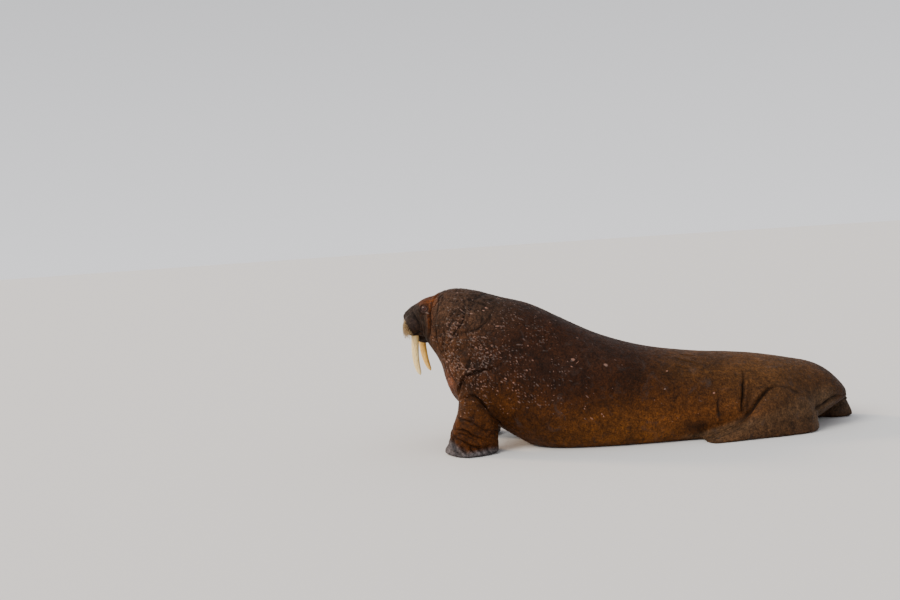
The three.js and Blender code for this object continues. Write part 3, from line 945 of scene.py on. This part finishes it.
hideColours = {
    "base": (0.020, 0.0048, 0.0004),
    # centre (x, z) in the side view, reach, colour and strength of each patch
    "patches": {
        # greyer on the top of the neck: partly the hide's own tone, partly a painted sheen of the sky
        # there
        "neck": ((-1.10, 0.98), (0.34, 0.22), (0.042, 0.0235, 0.0148), 0.95),
        "throat": ((-1.24, 0.72), (0.20, 0.24), (0.064, 0.025, 0.0092), 0.8),
        "shoulder": ((-0.72, 0.60), (0.40, 0.28), (0.021, 0.0064, 0.0020), 0.9),
        "saddle": ((-0.25, 0.62), (0.45, 0.14), (0.023, 0.0090, 0.0045), 0.7),
        "chest": ((-1.05, 0.33), (0.30, 0.14), (0.060, 0.0185, 0.0021), 0.8),
        "belly": ((0.00, 0.08), (0.72, 0.20), (0.110, 0.037, 0.0048), 0.85),
        "flank": ((0.40, 0.16), (0.42, 0.16), (0.080, 0.025, 0.0045), 0.7),
        "rump": ((0.95, 0.48), (0.60, 0.20), (0.078, 0.033, 0.0090), 0.85),
        "thigh": ((1.00, 0.22), (0.35, 0.14), (0.056, 0.028, 0.0115), 0.6),
        # painted shade: a dark patch low on the flank, near the floor
        "lowFlankShade": ((0.33, 0.10), (0.11, 0.05), (0.010, 0.004, 0.0015), 0.8),
        # painted light: a narrow bright strip down the chest's front edge, where the light from the
        # left catches it
        "litChestEdge": ((-1.27, 0.47), (0.03, 0.07), (0.17, 0.055, 0.024), 0.7),
        "arm": ((-1.13, 0.10), (0.14, 0.12), (0.084, 0.0245, 0.0032), 0.7),
        "loin": ((0.35, 0.50), (0.22, 0.10), (0.066, 0.0270, 0.0066), 0.6),
    },
    "muzzle": (0.018, 0.0107, 0.0082),
    "face": (0.0090, 0.0030, 0.0006),
    "brow": (0.088, 0.0215, 0.0022),
    "band": (0.085, 0.022, 0.0030),
    "hand": (0.070, 0.060, 0.062),
    "foot": (0.060, 0.035, 0.018),
    "lid": (0.062, 0.036, 0.030),
}


def tintAt(co):
    tint = np.tile(np.array(hideColours["base"]), (len(co), 1))
    back, high = co[:, 0], co[:, 2]

    def blend(colour, weight):
        tint[:] = tint * (1 - weight[:, None]) + np.array(colour) * weight[:, None]

    for (x, z), (wide, tall), colour, strength in hideColours["patches"].values():
        spread = ((back - x) / wide) ** 2 + ((high - z) / tall) ** 2
        blend(colour, strength * np.exp(-spread))
    f = toHead(co)[0]
    head = 1 - smooth(0.20, 0.30, awayFrom(co, headMiddle))
    blend(hideColours["face"], head * smooth(-0.30, -0.24, f) * 0.9)
    blend(hideColours["muzzle"], head * smooth(-0.175, -0.125, f) * smooth(0.80, 0.86, high))
    brow = head * smooth(0.970, 1.018, high + 0.10 * (-0.235 - f)) * smooth(-0.10, -0.17, f)
    blend(hideColours["brow"], brow * (1 - smooth(-0.27, -0.34, f)) * 0.85)
    band = bump(f, -0.275 + 0.06 * (high - 0.9), 0.022)
    blend(hideColours["band"], band * smooth(0.80, 0.90, high) * 0.8)
    # a hind foot's bare skin reaches higher towards its heel
    for plan in footPlan.values():
        heel, tip = np.array(plan["heel"]), np.array(plan["tip"])
        line = tip - heel
        t = np.clip((co[:, :2] - heel) @ line / (line @ line), 0, 1)
        aside = np.linalg.norm(co[:, :2] - heel - t[:, None] * line, axis=1)
        edge = 0.06 + 0.28 * (1 - t)
        near = 0.75 * (1 - smooth(0.06, 0.18, aside))
        blend(hideColours["foot"], near * (1 - smooth(0.6 * edge, edge, high)))
    # the bare grey skin of a hand is highest at its fingers
    for plan in handPlan.values():
        reach = co[:, :2] - np.array(plan["wrist"])
        turn = math.radians(plan["pointing"])
        ahead = reach[:, 0] * -math.cos(turn) + reach[:, 1] * plan["side"] * math.sin(turn)
        outer = smooth(plan["wrist"][0] - 0.03, plan["wrist"][0] - 0.18, back)
        edge = 0.022 + 0.03 * smooth(0.05, 0.16, ahead) + 0.085 * outer
        near = np.hypot(reach[:, 0], reach[:, 1]) < 0.30
        blend(hideColours["hand"], near * (1 - smooth(edge - 0.02, edge + 0.02, high)))
    return tint


lids = lids[:, None]
addAttribute(skin.data, "tint", tintAt(skinCo) * (1 - lids) + np.array(hideColours["lid"]) * lids)
print("hide painted")


# Eyes

def makeEye(side, centre):
    bm = bmesh.new()
    bmesh.ops.create_uvsphere(
        bm, u_segments=eyePlan["segments"], v_segments=eyePlan["rings"], radius=eyePlan["radius"]
    )
    eye = newObject("eye_" + side + "_ball", bm)
    eye.data.transform(Matrix.Translation(centre))
    shadeSmooth(eye)
    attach(eye, "root")
    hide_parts("eye_" + side)
    return eye


eyeCentres = {"left": eyeLeft, "right": eyeRight}
eyes = {side: makeEye(side, centre) for side, centre in eyeCentres.items()}


# Tusks

def makeTusk(side):
    bm = meshCopy(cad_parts["tusk_" + side].data)
    bmesh.ops.remove_doubles(bm, verts=bm.verts, dist=1e-5)
    tusk = newObject("tusk_" + side + "_ivory", bm)
    finer = tusk.modifiers.new("finer", "SUBSURF")
    finer.levels = finer.render_levels = 2
    applyModifiers(tusk)
    shadeSmooth(tusk)
    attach(tusk, "root")
    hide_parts("tusk_" + side)
    return tusk


tusks = {side: makeTusk(side) for side in ("left", "right")}
print("eyes and tusks made")


# Many small pieces stamped from one

# Copies a small template once for each place. bend turns the template's points into a copy's own points
def stampCopies(name, template, count, bend):
    template.verts.ensure_lookup_table()
    base = np.array([vert.co[:] for vert in template.verts])
    loops = [[vert.index for vert in face.verts] for face in template.faces]
    sizes = np.array([len(loop) for loop in loops])
    flat = np.concatenate(loops)
    points = np.concatenate([bend(i, base) for i in range(count)])
    corners = (flat[None, :] + np.arange(count)[:, None] * len(base)).ravel()
    mesh = bpy.data.meshes.new(name)
    mesh.vertices.add(len(points))
    mesh.vertices.foreach_set("co", points.astype(np.float32).ravel())
    mesh.loops.add(len(corners))
    mesh.loops.foreach_set("vertex_index", corners.astype(np.int32))
    mesh.polygons.add(len(loops) * count)
    starts = np.concatenate([[0], np.cumsum(np.tile(sizes, count))[:-1]])
    mesh.polygons.foreach_set("loop_start", starts.astype(np.int32))
    mesh.update(calc_edges=True)
    mesh.validate()
    made = addObject(name, mesh)
    shadeSmooth(made)
    template.free()
    return made


# A value for each copy, handed to all of the copy's points
def perPoint(made, values):
    return np.repeat(values, len(made.data.vertices) // len(values), axis=0)


# A cone of length 1 and root radius 1, cut across at levels from -0.5 to 0.5 so that it can bend
def newSpike(segments, tip, levels):
    bm = bmesh.new()
    bmesh.ops.create_cone(bm, cap_ends=True, segments=segments, radius1=1, radius2=tip, depth=1)
    for level in levels:
        geom = bm.verts[:] + bm.edges[:] + bm.faces[:]
        bmesh.ops.bisect_plane(bm, geom=geom, plane_co=(0, 0, level), plane_no=(0, 0, 1))
    return bm


bakePlan = {
    "margin": 0.02,
    "patch": 0.0015,  # radius of a copy's patch on the map
    "turn": 2.399963,  # from each point of a patch to the next, round its middle
}


# The skin's places rolled out flat on the bake map
def rollOut(co):
    along = (co[:, 0] + 1.6) / 3.2
    turn = np.arctan2(co[:, 1] - 0.02, co[:, 2] - 0.35) / (2 * np.pi) + 0.5
    margin = bakePlan["margin"]
    return margin + (1 - 2 * margin) * np.stack([along, turn], axis=1)


# Every copy gets a small patch of the bake map, at its root's place
def addBakeMap(made, roots):
    layer = made.data.uv_layers.new(name="OFBake")
    corner = np.empty(len(made.data.loops), np.int32)
    made.data.loops.foreach_get("vertex_index", corner)
    perCopy = len(made.data.vertices) // len(roots)
    within = corner % perCopy
    spin = within * bakePlan["turn"]
    reach = bakePlan["patch"] * np.sqrt((within + 0.5) / perCopy)
    uv = rollOut(roots)[corner // perCopy]
    uv += np.stack([np.cos(spin), np.sin(spin)], axis=1) * reach[:, None]
    layer.data.foreach_set("uv", uv.astype(np.float32).ravel())


# Spots on the skin with its normal there, as many as density asks for at each place
def scatter(draw, count, density, loose):
    centres = vectorsOf(skin.data.polygons, "center")
    area = np.empty(len(centres), np.float32)
    skin.data.polygons.foreach_get("area", area)
    chance = area * density(centres)
    chosen = draw.choice(len(centres), count, p=chance / chance.sum())
    places = centres[chosen] + draw.normal(0, loose, (count, 3))
    hits = [skinTree.find_nearest(Vector(p)) for p in places]
    return [(np.array(hit[0]), np.array(hit[1])) for hit in hits]


# Along, across and out of the skin, the first turned towards a given way
def frameAt(normal, way):
    out = normal / np.linalg.norm(normal)
    along = way - out * (way @ out)
    along /= max(np.linalg.norm(along), 1e-9)
    return along, np.cross(out, along), out


# Warts and scars of the hide

wartPlan = {
    "count": 2500,
    "radius": (0.0024, 0.0058),
    "height": 0.32,  # of the radius
    "long": 3.4,  # length of the longest over its width
    "bright": 1.9,  # the higher, the fewer pale ones
    "turn": (0.6, 0.35),  # radians, middle and spread
    "loose": 0.003,  # how far off a face's middle they spread
    "scarHeight": 0.0016,
    "scarTone": 1.25,
    "seed": 5,
}

# place (x, z), half length and half width in metres, tilt in degrees
scars = [
    (-0.994, 0.962, 0.020, 0.006, 40), (-1.012, 0.946, 0.012, 0.005, 38),
    (-1.096, 0.930, 0.017, 0.006, 12), (-0.448, 0.594, 0.018, 0.013, 20),
    (-0.420, 0.575, 0.018, 0.0025, -45), (-0.232, 0.542, 0.018, 0.014, 20),
    (-0.290, 0.235, 0.008, 0.006, 70), (-0.280, 0.219, 0.007, 0.006, 60),
    (0.141, 0.363, 0.010, 0.006, -20), (0.468, 0.311, 0.012, 0.008, -30),
    (0.178, 0.469, 0.011, 0.007, -40), (-1.010, 0.700, 0.013, 0.004, 30),
    (-0.985, 0.660, 0.012, 0.004, 35), (-1.060, 0.640, 0.013, 0.005, 25),
    (-0.900, 0.500, 0.013, 0.006, 35), (-0.850, 0.470, 0.010, 0.007, 30),
]


def wartDensity(co):
    f = toHead(co)[0]
    x, z = co[:, 0], co[:, 2]
    front = 1 - smooth(-1.0, -0.25, x)
    many = 0.03 + 0.97 * front
    many *= 1 - 0.6 * smooth(0.80, 1.02, z)
    many *= smooth(0.22, 0.42, z + 0.25 * smooth(-0.8, -0.2, x))
    many *= smooth(-0.24, -0.30, f)
    many *= 1 - 0.85 * smooth(0.0, 0.6, x)
    throat = bump(x, -1.16, 0.20) * bump(z, 0.70, 0.20)
    many = many * 0.34 + 0.66 * throat * smooth(-0.24, -0.30, f)
    crowd = [0.6 + noise.noise(Vector((7 * p[0], 5 * p[1], 7 * p[2]))) for p in co]
    return many * np.clip(crowd, 0.05, 2) ** 1.25


# A low dome with a skirt below its edge, and how strongly its points take the pale tone
def wartTemplate():
    bm = bmesh.new()
    turn = Matrix.Rotation(math.pi / 8, 4, "Z")
    bmesh.ops.create_uvsphere(bm, u_segments=8, v_segments=6, radius=1, matrix=turn)
    bmesh.ops.delete(bm, geom=[vert for vert in bm.verts if vert.co.z < -0.1], context="VERTS")
    fade = []
    for vert in bm.verts:
        r = vert.co.xy.length
        vert.co.z = (1 - r * r) ** 1.2 if r < 0.99 else -0.55
        fade.append(1 - smooth(0.3, 1.0, r))
    return bm, fade


def addScars(draw, spots, sizes, turns, tones):
    for scarX, scarZ, long, wide, tilt in scars:
        for side in (-1, 1):
            x, z = scarX, scarZ
            if side > 0:
                x, z = x + draw.uniform(-0.25, 0.25), z + draw.uniform(-0.10, 0.05)
            hit = onSide(x, z, side)
            if hit is not None:
                hit, normal, face, far = skinTree.find_nearest(hit)
                spots.append((np.array(hit), np.array(normal)))
                sizes.append((long, wide, wartPlan["scarHeight"]))
                turns.append(math.radians(tilt))
                tones.append(wartPlan["scarTone"])


def makeWarts():
    draw = np.random.default_rng(wartPlan["seed"])
    spots = scatter(draw, wartPlan["count"], wartDensity, wartPlan["loose"])
    size = draw.uniform(*wartPlan["radius"], len(spots)) * draw.uniform(0.7, 1.25, len(spots))
    stretch = 1 + (wartPlan["long"] - 1) * draw.random(len(spots)) ** 2.2
    flat = draw.uniform(0.7, 1.2, len(spots)) * wartPlan["height"]
    turns = list(draw.normal(*wartPlan["turn"], len(spots)))
    tones = list(draw.random(len(spots)) ** wartPlan["bright"])
    sizes = [(s * k, s, s * h) for s, k, h in zip(size, stretch, flat)]
    addScars(draw, spots, sizes, turns, tones)
    bm, fade = wartTemplate()

    def bend(i, base):
        spot, normal = spots[i]
        along, across, out = frameAt(normal, np.array([1.0, 0.0, 0.0]))
        c, s = math.cos(turns[i]), math.sin(turns[i])
        first = along * c + across * s * np.sign(spot[1])
        second = np.cross(out, first)
        a, b, h = sizes[i]
        wobble = 1 + 0.18 * np.sin(base[:, :1] * 3 + i) * np.cos(base[:, 1:2] * 2.5 + 2 * i)
        flatPart = (base[:, :1] * a * first + base[:, 1:2] * b * second) * wobble
        points = spot + flatPart + base[:, 2:3] * h * out
        points[:, 2] = np.maximum(points[:, 2], 0)
        return points

    warts = stampCopies("warts", bm, len(spots), bend)
    roots = np.array([spot for spot, normal in spots])
    addBakeMap(warts, roots)
    addAttribute(warts.data, "tint", perPoint(warts, tintAt(roots)))
    addAttribute(warts.data, "pale", np.outer(tones, fade).ravel())
    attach(warts, "root")
    return warts


warts = makeWarts()
print("warts:", len(warts.data.polygons), "faces")


# Whiskers

whiskerPlan = {
    "padCentre": (-0.103, 0.070, 0.854),
    "rows": 13,
    "columns": 24,
    "lift": (-52, 34),  # degrees from level, from the lip up
    "swing": (-40, 108),  # degrees from straight ahead, outward
    "narrow": 46,  # less swing outward in the top row
    "length": (0.022, 0.050),
    "radius": 0.0011,
    "root": 0.006,  # length inside the pad
    "foremost": -1.5755,  # x of the solids' own whisker tips
    "seed": 8,
}


# Root, way out of the pad, way of the tip, length and thickness of each whisker on one side
def whiskerRoots(side):
    plan = whiskerPlan
    draw = random.Random(plan["seed"] + side)
    f, l, u = plan["padCentre"]
    centre = atHead(f, side * l, u)
    made = []
    for row in range(plan["rows"]):
        for column in range(plan["columns"]):
            high = (row + 0.5 + draw.uniform(-0.35, 0.35)) / plan["rows"]
            outer = column + 0.5 + draw.uniform(-0.4, 0.4) + 0.5 * (row % 2)
            outer /= plan["columns"] + 0.5
            lift = math.radians(between(plan["lift"], high))
            inner, most = plan["swing"]
            swing = math.radians(between((inner, most - plan["narrow"] * high), outer))
            ahead, aside = math.cos(lift) * math.cos(swing), side * math.cos(lift) * math.sin(swing)
            way = (forward * ahead + leftward * aside + up * math.sin(lift)).normalized()
            hit, normal, face, far = skinTree.ray_cast(centre, way, 0.2)
            if hit is None or (high > 0.72 and draw.random() < 0.35):
                continue
            away = forward * (ahead * 0.30 + 0.14) + leftward * (aside * 0.42) - up * 0.86
            away += Vector((draw.gauss(0, 0.07), draw.gauss(0, 0.07), draw.gauss(0, 0.05)))
            grown = 0.35 * outer + 0.60 * (1 - high) + draw.uniform(-0.15, 0.12)
            length = between(plan["length"], max(0.05, grown))
            made.append((hit, way, away.normalized(), length, draw.uniform(0.8, 1.25)))
    return made


def makeWhiskers():
    roots = whiskerRoots(1) + whiskerRoots(-1)

    def bend(i, base):
        hit, way, away, length, thick = roots[i]
        t = base[:, 2:3] + 0.5
        total = length + whiskerPlan["root"]
        out = np.array((way * 0.45 + away * 0.55).normalized())
        end = np.array(away)
        start = np.array(hit) - out * whiskerPlan["root"]
        middle = start + out * total * 0.45
        tip = middle + end * total * 0.55
        line = (1 - t) ** 2 * start + 2 * t * (1 - t) * middle + t * t * tip
        side = np.cross(end, out + 0.01)
        side /= np.linalg.norm(side)
        other = np.cross(end, side)
        r = whiskerPlan["radius"] * thick
        points = line + r * (base[:, :1] * side + base[:, 1:2] * other)
        points[:, 0] += 0.6 * np.maximum(0, whiskerPlan["foremost"] + 0.004 - points[:, 0])
        points[:, 0] = np.maximum(points[:, 0], whiskerPlan["foremost"])
        return points

    whiskers = stampCopies("whiskers", newSpike(5, 0.28, (-0.25, 0, 0.25)), len(roots), bend)
    addBakeMap(whiskers, np.array([root[0][:] for root in roots]))
    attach(whiskers, "root")
    return whiskers


whiskers = makeWhiskers()
print("whiskers:", len(whiskers.data.polygons), "faces")


# Short hair, lying back all over but for the muzzle, hands and feet

hairPlan = {
    "count": 14000,
    "length": (0.008, 0.016),
    "radius": 0.0007,
    "root": 0.0006,  # depth in the skin
    "stand": 0.22,  # how steeply a hair leaves the skin
    "sway": 0.25,  # spread of the lean to either side
    "loose": 0.005,
    "tone": (0.7, 1.6),  # against the hide under it
    "seed": 12,
}


def hairDensity(co):
    f = toHead(co)[0]
    many = smooth(-0.19, -0.26, f) * smooth(0.02, 0.08, co[:, 2])
    many *= smooth(0.034, 0.050, eyesAway(co))
    for node in flippers:
        low, high = boxes[node]
        inside = insideBox(co, low - 0.01, high + 0.01)
        many *= 1 - inside * (1 - smooth(0.10, 0.20, co[:, 2]))
    return many


def makeHair():
    draw = np.random.default_rng(hairPlan["seed"])
    spots = scatter(draw, hairPlan["count"], hairDensity, hairPlan["loose"])
    lengths = draw.uniform(*hairPlan["length"], len(spots))
    sways = draw.normal(0, hairPlan["sway"], len(spots))

    def bend(i, base):
        spot, normal = spots[i]
        along, across, out = frameAt(normal, np.array([1.0, 0.0, -0.35]))
        way = along + across * sways[i]
        t = base[:, 2:3] + 0.5
        line = spot + lengths[i] * (way * t + out * hairPlan["stand"] * (t - 0.7 * t * t))
        line -= out * hairPlan["root"]
        return line + hairPlan["radius"] * (base[:, :1] * across + base[:, 1:2] * out)

    hair = stampCopies("hair", newSpike(3, 0.12, (0.1,)), len(spots), bend)
    roots = np.array([spot for spot, normal in spots])
    addBakeMap(hair, roots)
    tone = draw.uniform(*hairPlan["tone"], len(spots))
    addAttribute(hair.data, "tint", perPoint(hair, tintAt(roots) * tone[:, None]))
    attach(hair, "root")
    return hair


hair = makeHair()
print("hair:", len(hair.data.polygons), "faces")


# Nails

nailPlan = {
    "size": (0.0040, 0.0026, 0.014),  # half width, half height, length
    "hand": (-0.150, -0.119, -0.078, -0.030, 0.020),
    "handBack": 0.026,  # from the edge back to the nail's root
    "footBack": 0.024,
}


# Start, way and a height above the skin for each nail
def nailPlaces():
    places = []
    for plan in handPlan.values():
        for across in nailPlan["hand"]:
            reach = wallReach(skinTree, plan, across)
            if reach is not None:
                start = handPoint(plan, reach - nailPlan["handBack"], across)
                end = handPoint(plan, reach, across)
                places.append((start, Vector(end) - Vector(start), 0.11))
    for plan in footPlan.values():
        for outward in plan["nails"]:
            edge = toeEdge(skinTree, plan, outward, 0.02)
            if edge is not None:
                start = edge.xy - footWay(plan) * nailPlan["footBack"]
                places.append((start, footWay(plan), 0.12))
    return places


def makeNails():
    spots = []
    for (x, y), way, above in nailPlaces():
        hit, normal, face, far = skinTree.ray_cast(Vector((x, y, above)), -up, 1)
        if hit is not None:
            spots.append((np.array(hit), np.array(normal), np.array([way.x, way.y, 0.0])))
    half, high, length = nailPlan["size"]

    def bend(i, base):
        spot, normal, way = spots[i]
        along, across, out = frameAt(normal, way)
        t = base[:, 2:3] + 0.5
        arch = 0.28 * np.sin(np.pi * np.clip(0.15 + 0.9 * t, 0, 1)) - 0.12
        line = spot + length * (along * (t - 0.3) + out * arch * 0.7)
        points = line + base[:, :1] * half * across + base[:, 1:2] * high * out
        points[:, 2] = np.maximum(points[:, 2], 0.0005)
        return points

    nails = stampCopies("nails", newSpike(10, 0.25, (-0.3, -0.1, 0.1, 0.3)), len(spots), bend)
    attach(nails, "root")
    return nails


nails = makeNails()
print("nails:", len(nails.data.polygons), "faces")


# Materials

hideLook = {
    "roughness": (0.52, 0.74),
    "specular": 0.10,
    # colour of the painted shade in folds and grooves
    "crease": (0.0028, 0.0016, 0.0010, 1),
    "speck": (0.13, 0.080, 0.055, 1),
    "pink": (0.30, 0.130, 0.080, 1),
    "grey": (0.15, 0.110, 0.090, 1),
    "bloom": (0.046, 0.034, 0.030, 1),
    # each noise as scale, detail, roughness, distortion, and the range that turns it into a share
    "blotch": ((5.0, 5, 0.62, 0.6), (0.3, 0.7, 0.60, 1.45)),
    "patchy": ((26.0, 6, 0.75, 0.4), (0.34, 0.66, 0.52, 1.50)),
    "grain": ((85.0, 4, 0.7), (0.34, 0.66, 0.50, 1.65)),
    "bloomShare": ((8.0, 6, 0.68, 1.2), (0.56, 0.72, 0.0, 0.55)),
    "speckShare": ((190.0, 2, 0.5), (0.66, 0.76, 0.0, 0.45)),
}


# Fine creases of the hide, 0 in a crease and 1 away from it
def crackleIn(tree, scale, width):
    net = noiseIn(tree, placeOf(tree, (2.2, 1, 0.8)), scale, 4, 0.55, 0.8)
    return rangeOf(tree, mathIn(tree, "ABSOLUTE", mathIn(tree, "SUBTRACT", net, 0.5)), 0.0, width)


# Height of the hide's own grain: pebbles, fine hair and small creases
def hideHeight(tree):
    cells = nodeIn(tree, "TexVoronoi", {"Vector": placeOf(tree), "Scale": 95.0}, feature="SMOOTH_F1")
    total = timesIn(tree, cells.outputs["Distance"], -0.5)
    fine = noiseIn(tree, placeOf(tree, (0.35, 1, 1)), 520.0, 3, 0.6)
    medium = noiseIn(tree, placeOf(tree, (1.6, 1, 0.7)), 60.0, 5, 0.6, 0.6)
    for value, share in ((fine, 0.26), (medium, 0.8), (crackleIn(tree, 16.0, 0.05), 0.3)):
        total = mathIn(tree, "ADD", total, timesIn(tree, value, share))
    return total


def hideColour(tree):
    place = placeOf(tree)

    def shareOf(name):
        pattern, span = hideLook[name]
        return rangeOf(tree, noiseIn(tree, place, *pattern), *span)

    tint = attributeIn(tree, "tint").outputs["Color"]
    crackle = rangeOf(tree, crackleIn(tree, 14.0, 0.035), 0.0, 1.0, 0.72, 1.02)
    tone = timesIn(tree, shareOf("blotch"), shareOf("patchy"))
    tone = timesIn(tree, tone, timesIn(tree, shareOf("grain"), crackle))
    toned = nodeIn(tree, "VectorMath", {0: tint, "Scale": tone}, operation="SCALE").outputs[0]
    toned = mixIn(tree, shareOf("bloomShare"), toned, hideLook["bloom"])
    return mixIn(tree, shareOf("speckShare"), toned, hideLook["speck"])


def makeHide():
    material, tree, shader = newMaterial("hide", specular=hideLook["specular"])
    # painted shade: the hide darkens towards the crease colour in folds, grooves and pits
    creaseShadeShare = timesIn(tree, attributeIn(tree, "paintedShade").outputs["Fac"], 0.93)
    colour = mixIn(tree, creaseShadeShare, hideColour(tree), hideLook["crease"])
    paint(tree, shader, colour)
    rough = rangeOf(tree, noiseIn(tree, placeOf(tree), 30.0, 4), 0.3, 0.7, *hideLook["roughness"])
    tree.links.new(rough, shader.inputs["Roughness"])
    addRelief(tree, shader, hideHeight(tree), 0.9, 0.004)
    return material


def makeWartSkin():
    material, tree, shader = newMaterial("wartSkin", 0.5, 0.45)
    place = placeOf(tree)
    greyness = rangeOf(tree, noiseIn(tree, place, 9.0, 3), 0.48, 0.66)
    paleColour = mixIn(tree, greyness, hideLook["pink"], hideLook["grey"])
    share = rangeOf(tree, attributeIn(tree, "pale").outputs["Fac"], 0.0, 1.0, 0.0, 0.76)
    paint(tree, shader, mixIn(tree, share, hideColour(tree), paleColour))
    addRelief(tree, shader, noiseIn(tree, place, 500.0, 3), 0.5, 0.002)
    return material


ivoryLook = {
    "left": {"pale": (1.0, 0.79, 0.38, 1), "streak": (0.76, 0.47, 0.15, 1)},
    "right": {"pale": (1.0, 0.62, 0.15, 1), "streak": (0.80, 0.40, 0.06, 1)},
    "gum": (0.50, 0.26, 0.07, 1),
    "tip": (0.86, 0.70, 0.42, 1),
    "crack": (0.20, 0.09, 0.02, 1),
}


def makeIvory(side):
    look = ivoryLook[side]
    material, tree, shader = newMaterial("ivory_" + side, 0.36, 0.4)
    streak = noiseIn(tree, placeOf(tree, (1, 1, 0.025)), 150.0, 4, 0.6)
    crack = noiseIn(tree, placeOf(tree, (1, 1, 0.010)), 70.0, 2, 0.5)
    line = mathIn(tree, "ABSOLUTE", mathIn(tree, "SUBTRACT", crack, 0.5))
    high = nodeIn(tree, "SeparateXYZ", {"Vector": placeOf(tree)}).outputs["Z"]
    toGum = rangeOf(tree, high, 0.68, 0.80)
    toTip = rangeOf(tree, high, 0.50, 0.58, 1.0, 0.0)
    colour = mixIn(tree, rangeOf(tree, streak, 0.35, 0.7), look["pale"], look["streak"])
    colour = mixIn(tree, timesIn(tree, toGum, 0.45), colour, ivoryLook["gum"])
    colour = mixIn(tree, timesIn(tree, toTip, 0.30), colour, ivoryLook["tip"])
    colour = mixIn(tree, rangeOf(tree, line, 0.0, 0.018, 0.65, 0.0), colour, ivoryLook["crack"])
    paint(tree, shader, colour)
    height = mathIn(tree, "ADD", streak, rangeOf(tree, line, 0.0, 0.02, -0.4, 0.0))
    addRelief(tree, shader, height, 0.35, 0.0015)
    return material


def makeHairBrown():
    material, tree, shader = newMaterial("hairBrown", 0.6, 0.1)
    paint(tree, shader, attributeIn(tree, "tint").outputs["Color"])
    return material


# roughness, specular, scale of the pattern and its two colours
hornLook = {
    "nailHorn": (0.55, 0.2, 300.0, (0.012, 0.008, 0.006, 1), (0.040, 0.028, 0.020, 1)),
    "whiskerHorn": (0.42, 0.5, 40.0, (0.52, 0.36, 0.16, 1), (0.22, 0.125, 0.048, 1)),
}


def makeHorn(name):
    roughness, specular, scale, first, second = hornLook[name]
    material, tree, shader = newMaterial(name, roughness, specular)
    share = rangeOf(tree, noiseIn(tree, placeOf(tree), scale, 3), 0.35, 0.65)
    paint(tree, shader, mixIn(tree, share, first, second))
    return material


eyeLook = {
    "white": ((0.22, 0.055, 0.042, 1), (0.10, 0.016, 0.012, 1)),
    "iris": (0.055, 0.014, 0.007, 1),
    "pupil": (0.004, 0.003, 0.003, 1),
    "irisEdge": (0.0128, 0.0142),  # metres from the eye's centre along the gaze
    "pupilEdge": (0.01865, 0.0191),
}


def makeEyeGlass(side, centre):
    material, tree, shader = newMaterial("eyeball_" + side, 0.09, 0.32)
    gaze = gazeOf(1 if side == "left" else -1)
    away = placeOf(tree, centre=tuple(-centre))
    facing = nodeIn(tree, "VectorMath", {0: away, 1: tuple(gaze)}, operation="DOT_PRODUCT")
    ahead = facing.outputs["Value"]
    veins = noiseIn(tree, placeOf(tree), 260.0, 4, 0.6, 2.0)
    colour = mixIn(tree, rangeOf(tree, veins, 0.4, 0.6), *eyeLook["white"])
    colour = mixIn(tree, rangeOf(tree, ahead, *eyeLook["irisEdge"]), colour, eyeLook["iris"])
    colour = mixIn(tree, rangeOf(tree, ahead, *eyeLook["pupilEdge"]), colour, eyeLook["pupil"])
    paint(tree, shader, colour)
    return material


def dress(made, material):
    made.data.materials.clear()
    made.data.materials.append(material)


dress(skin, makeHide())
dress(warts, makeWartSkin())
dress(whiskers, makeHorn("whiskerHorn"))
dress(hair, makeHairBrown())
dress(nails, makeHorn("nailHorn"))
for side, made in tusks.items():
    dress(made, makeIvory(side))
for side, centre in eyeCentres.items():
    dress(eyes[side], makeEyeGlass(side, centre))
print("materials made")

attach(skin, "root")
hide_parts(*flesh)
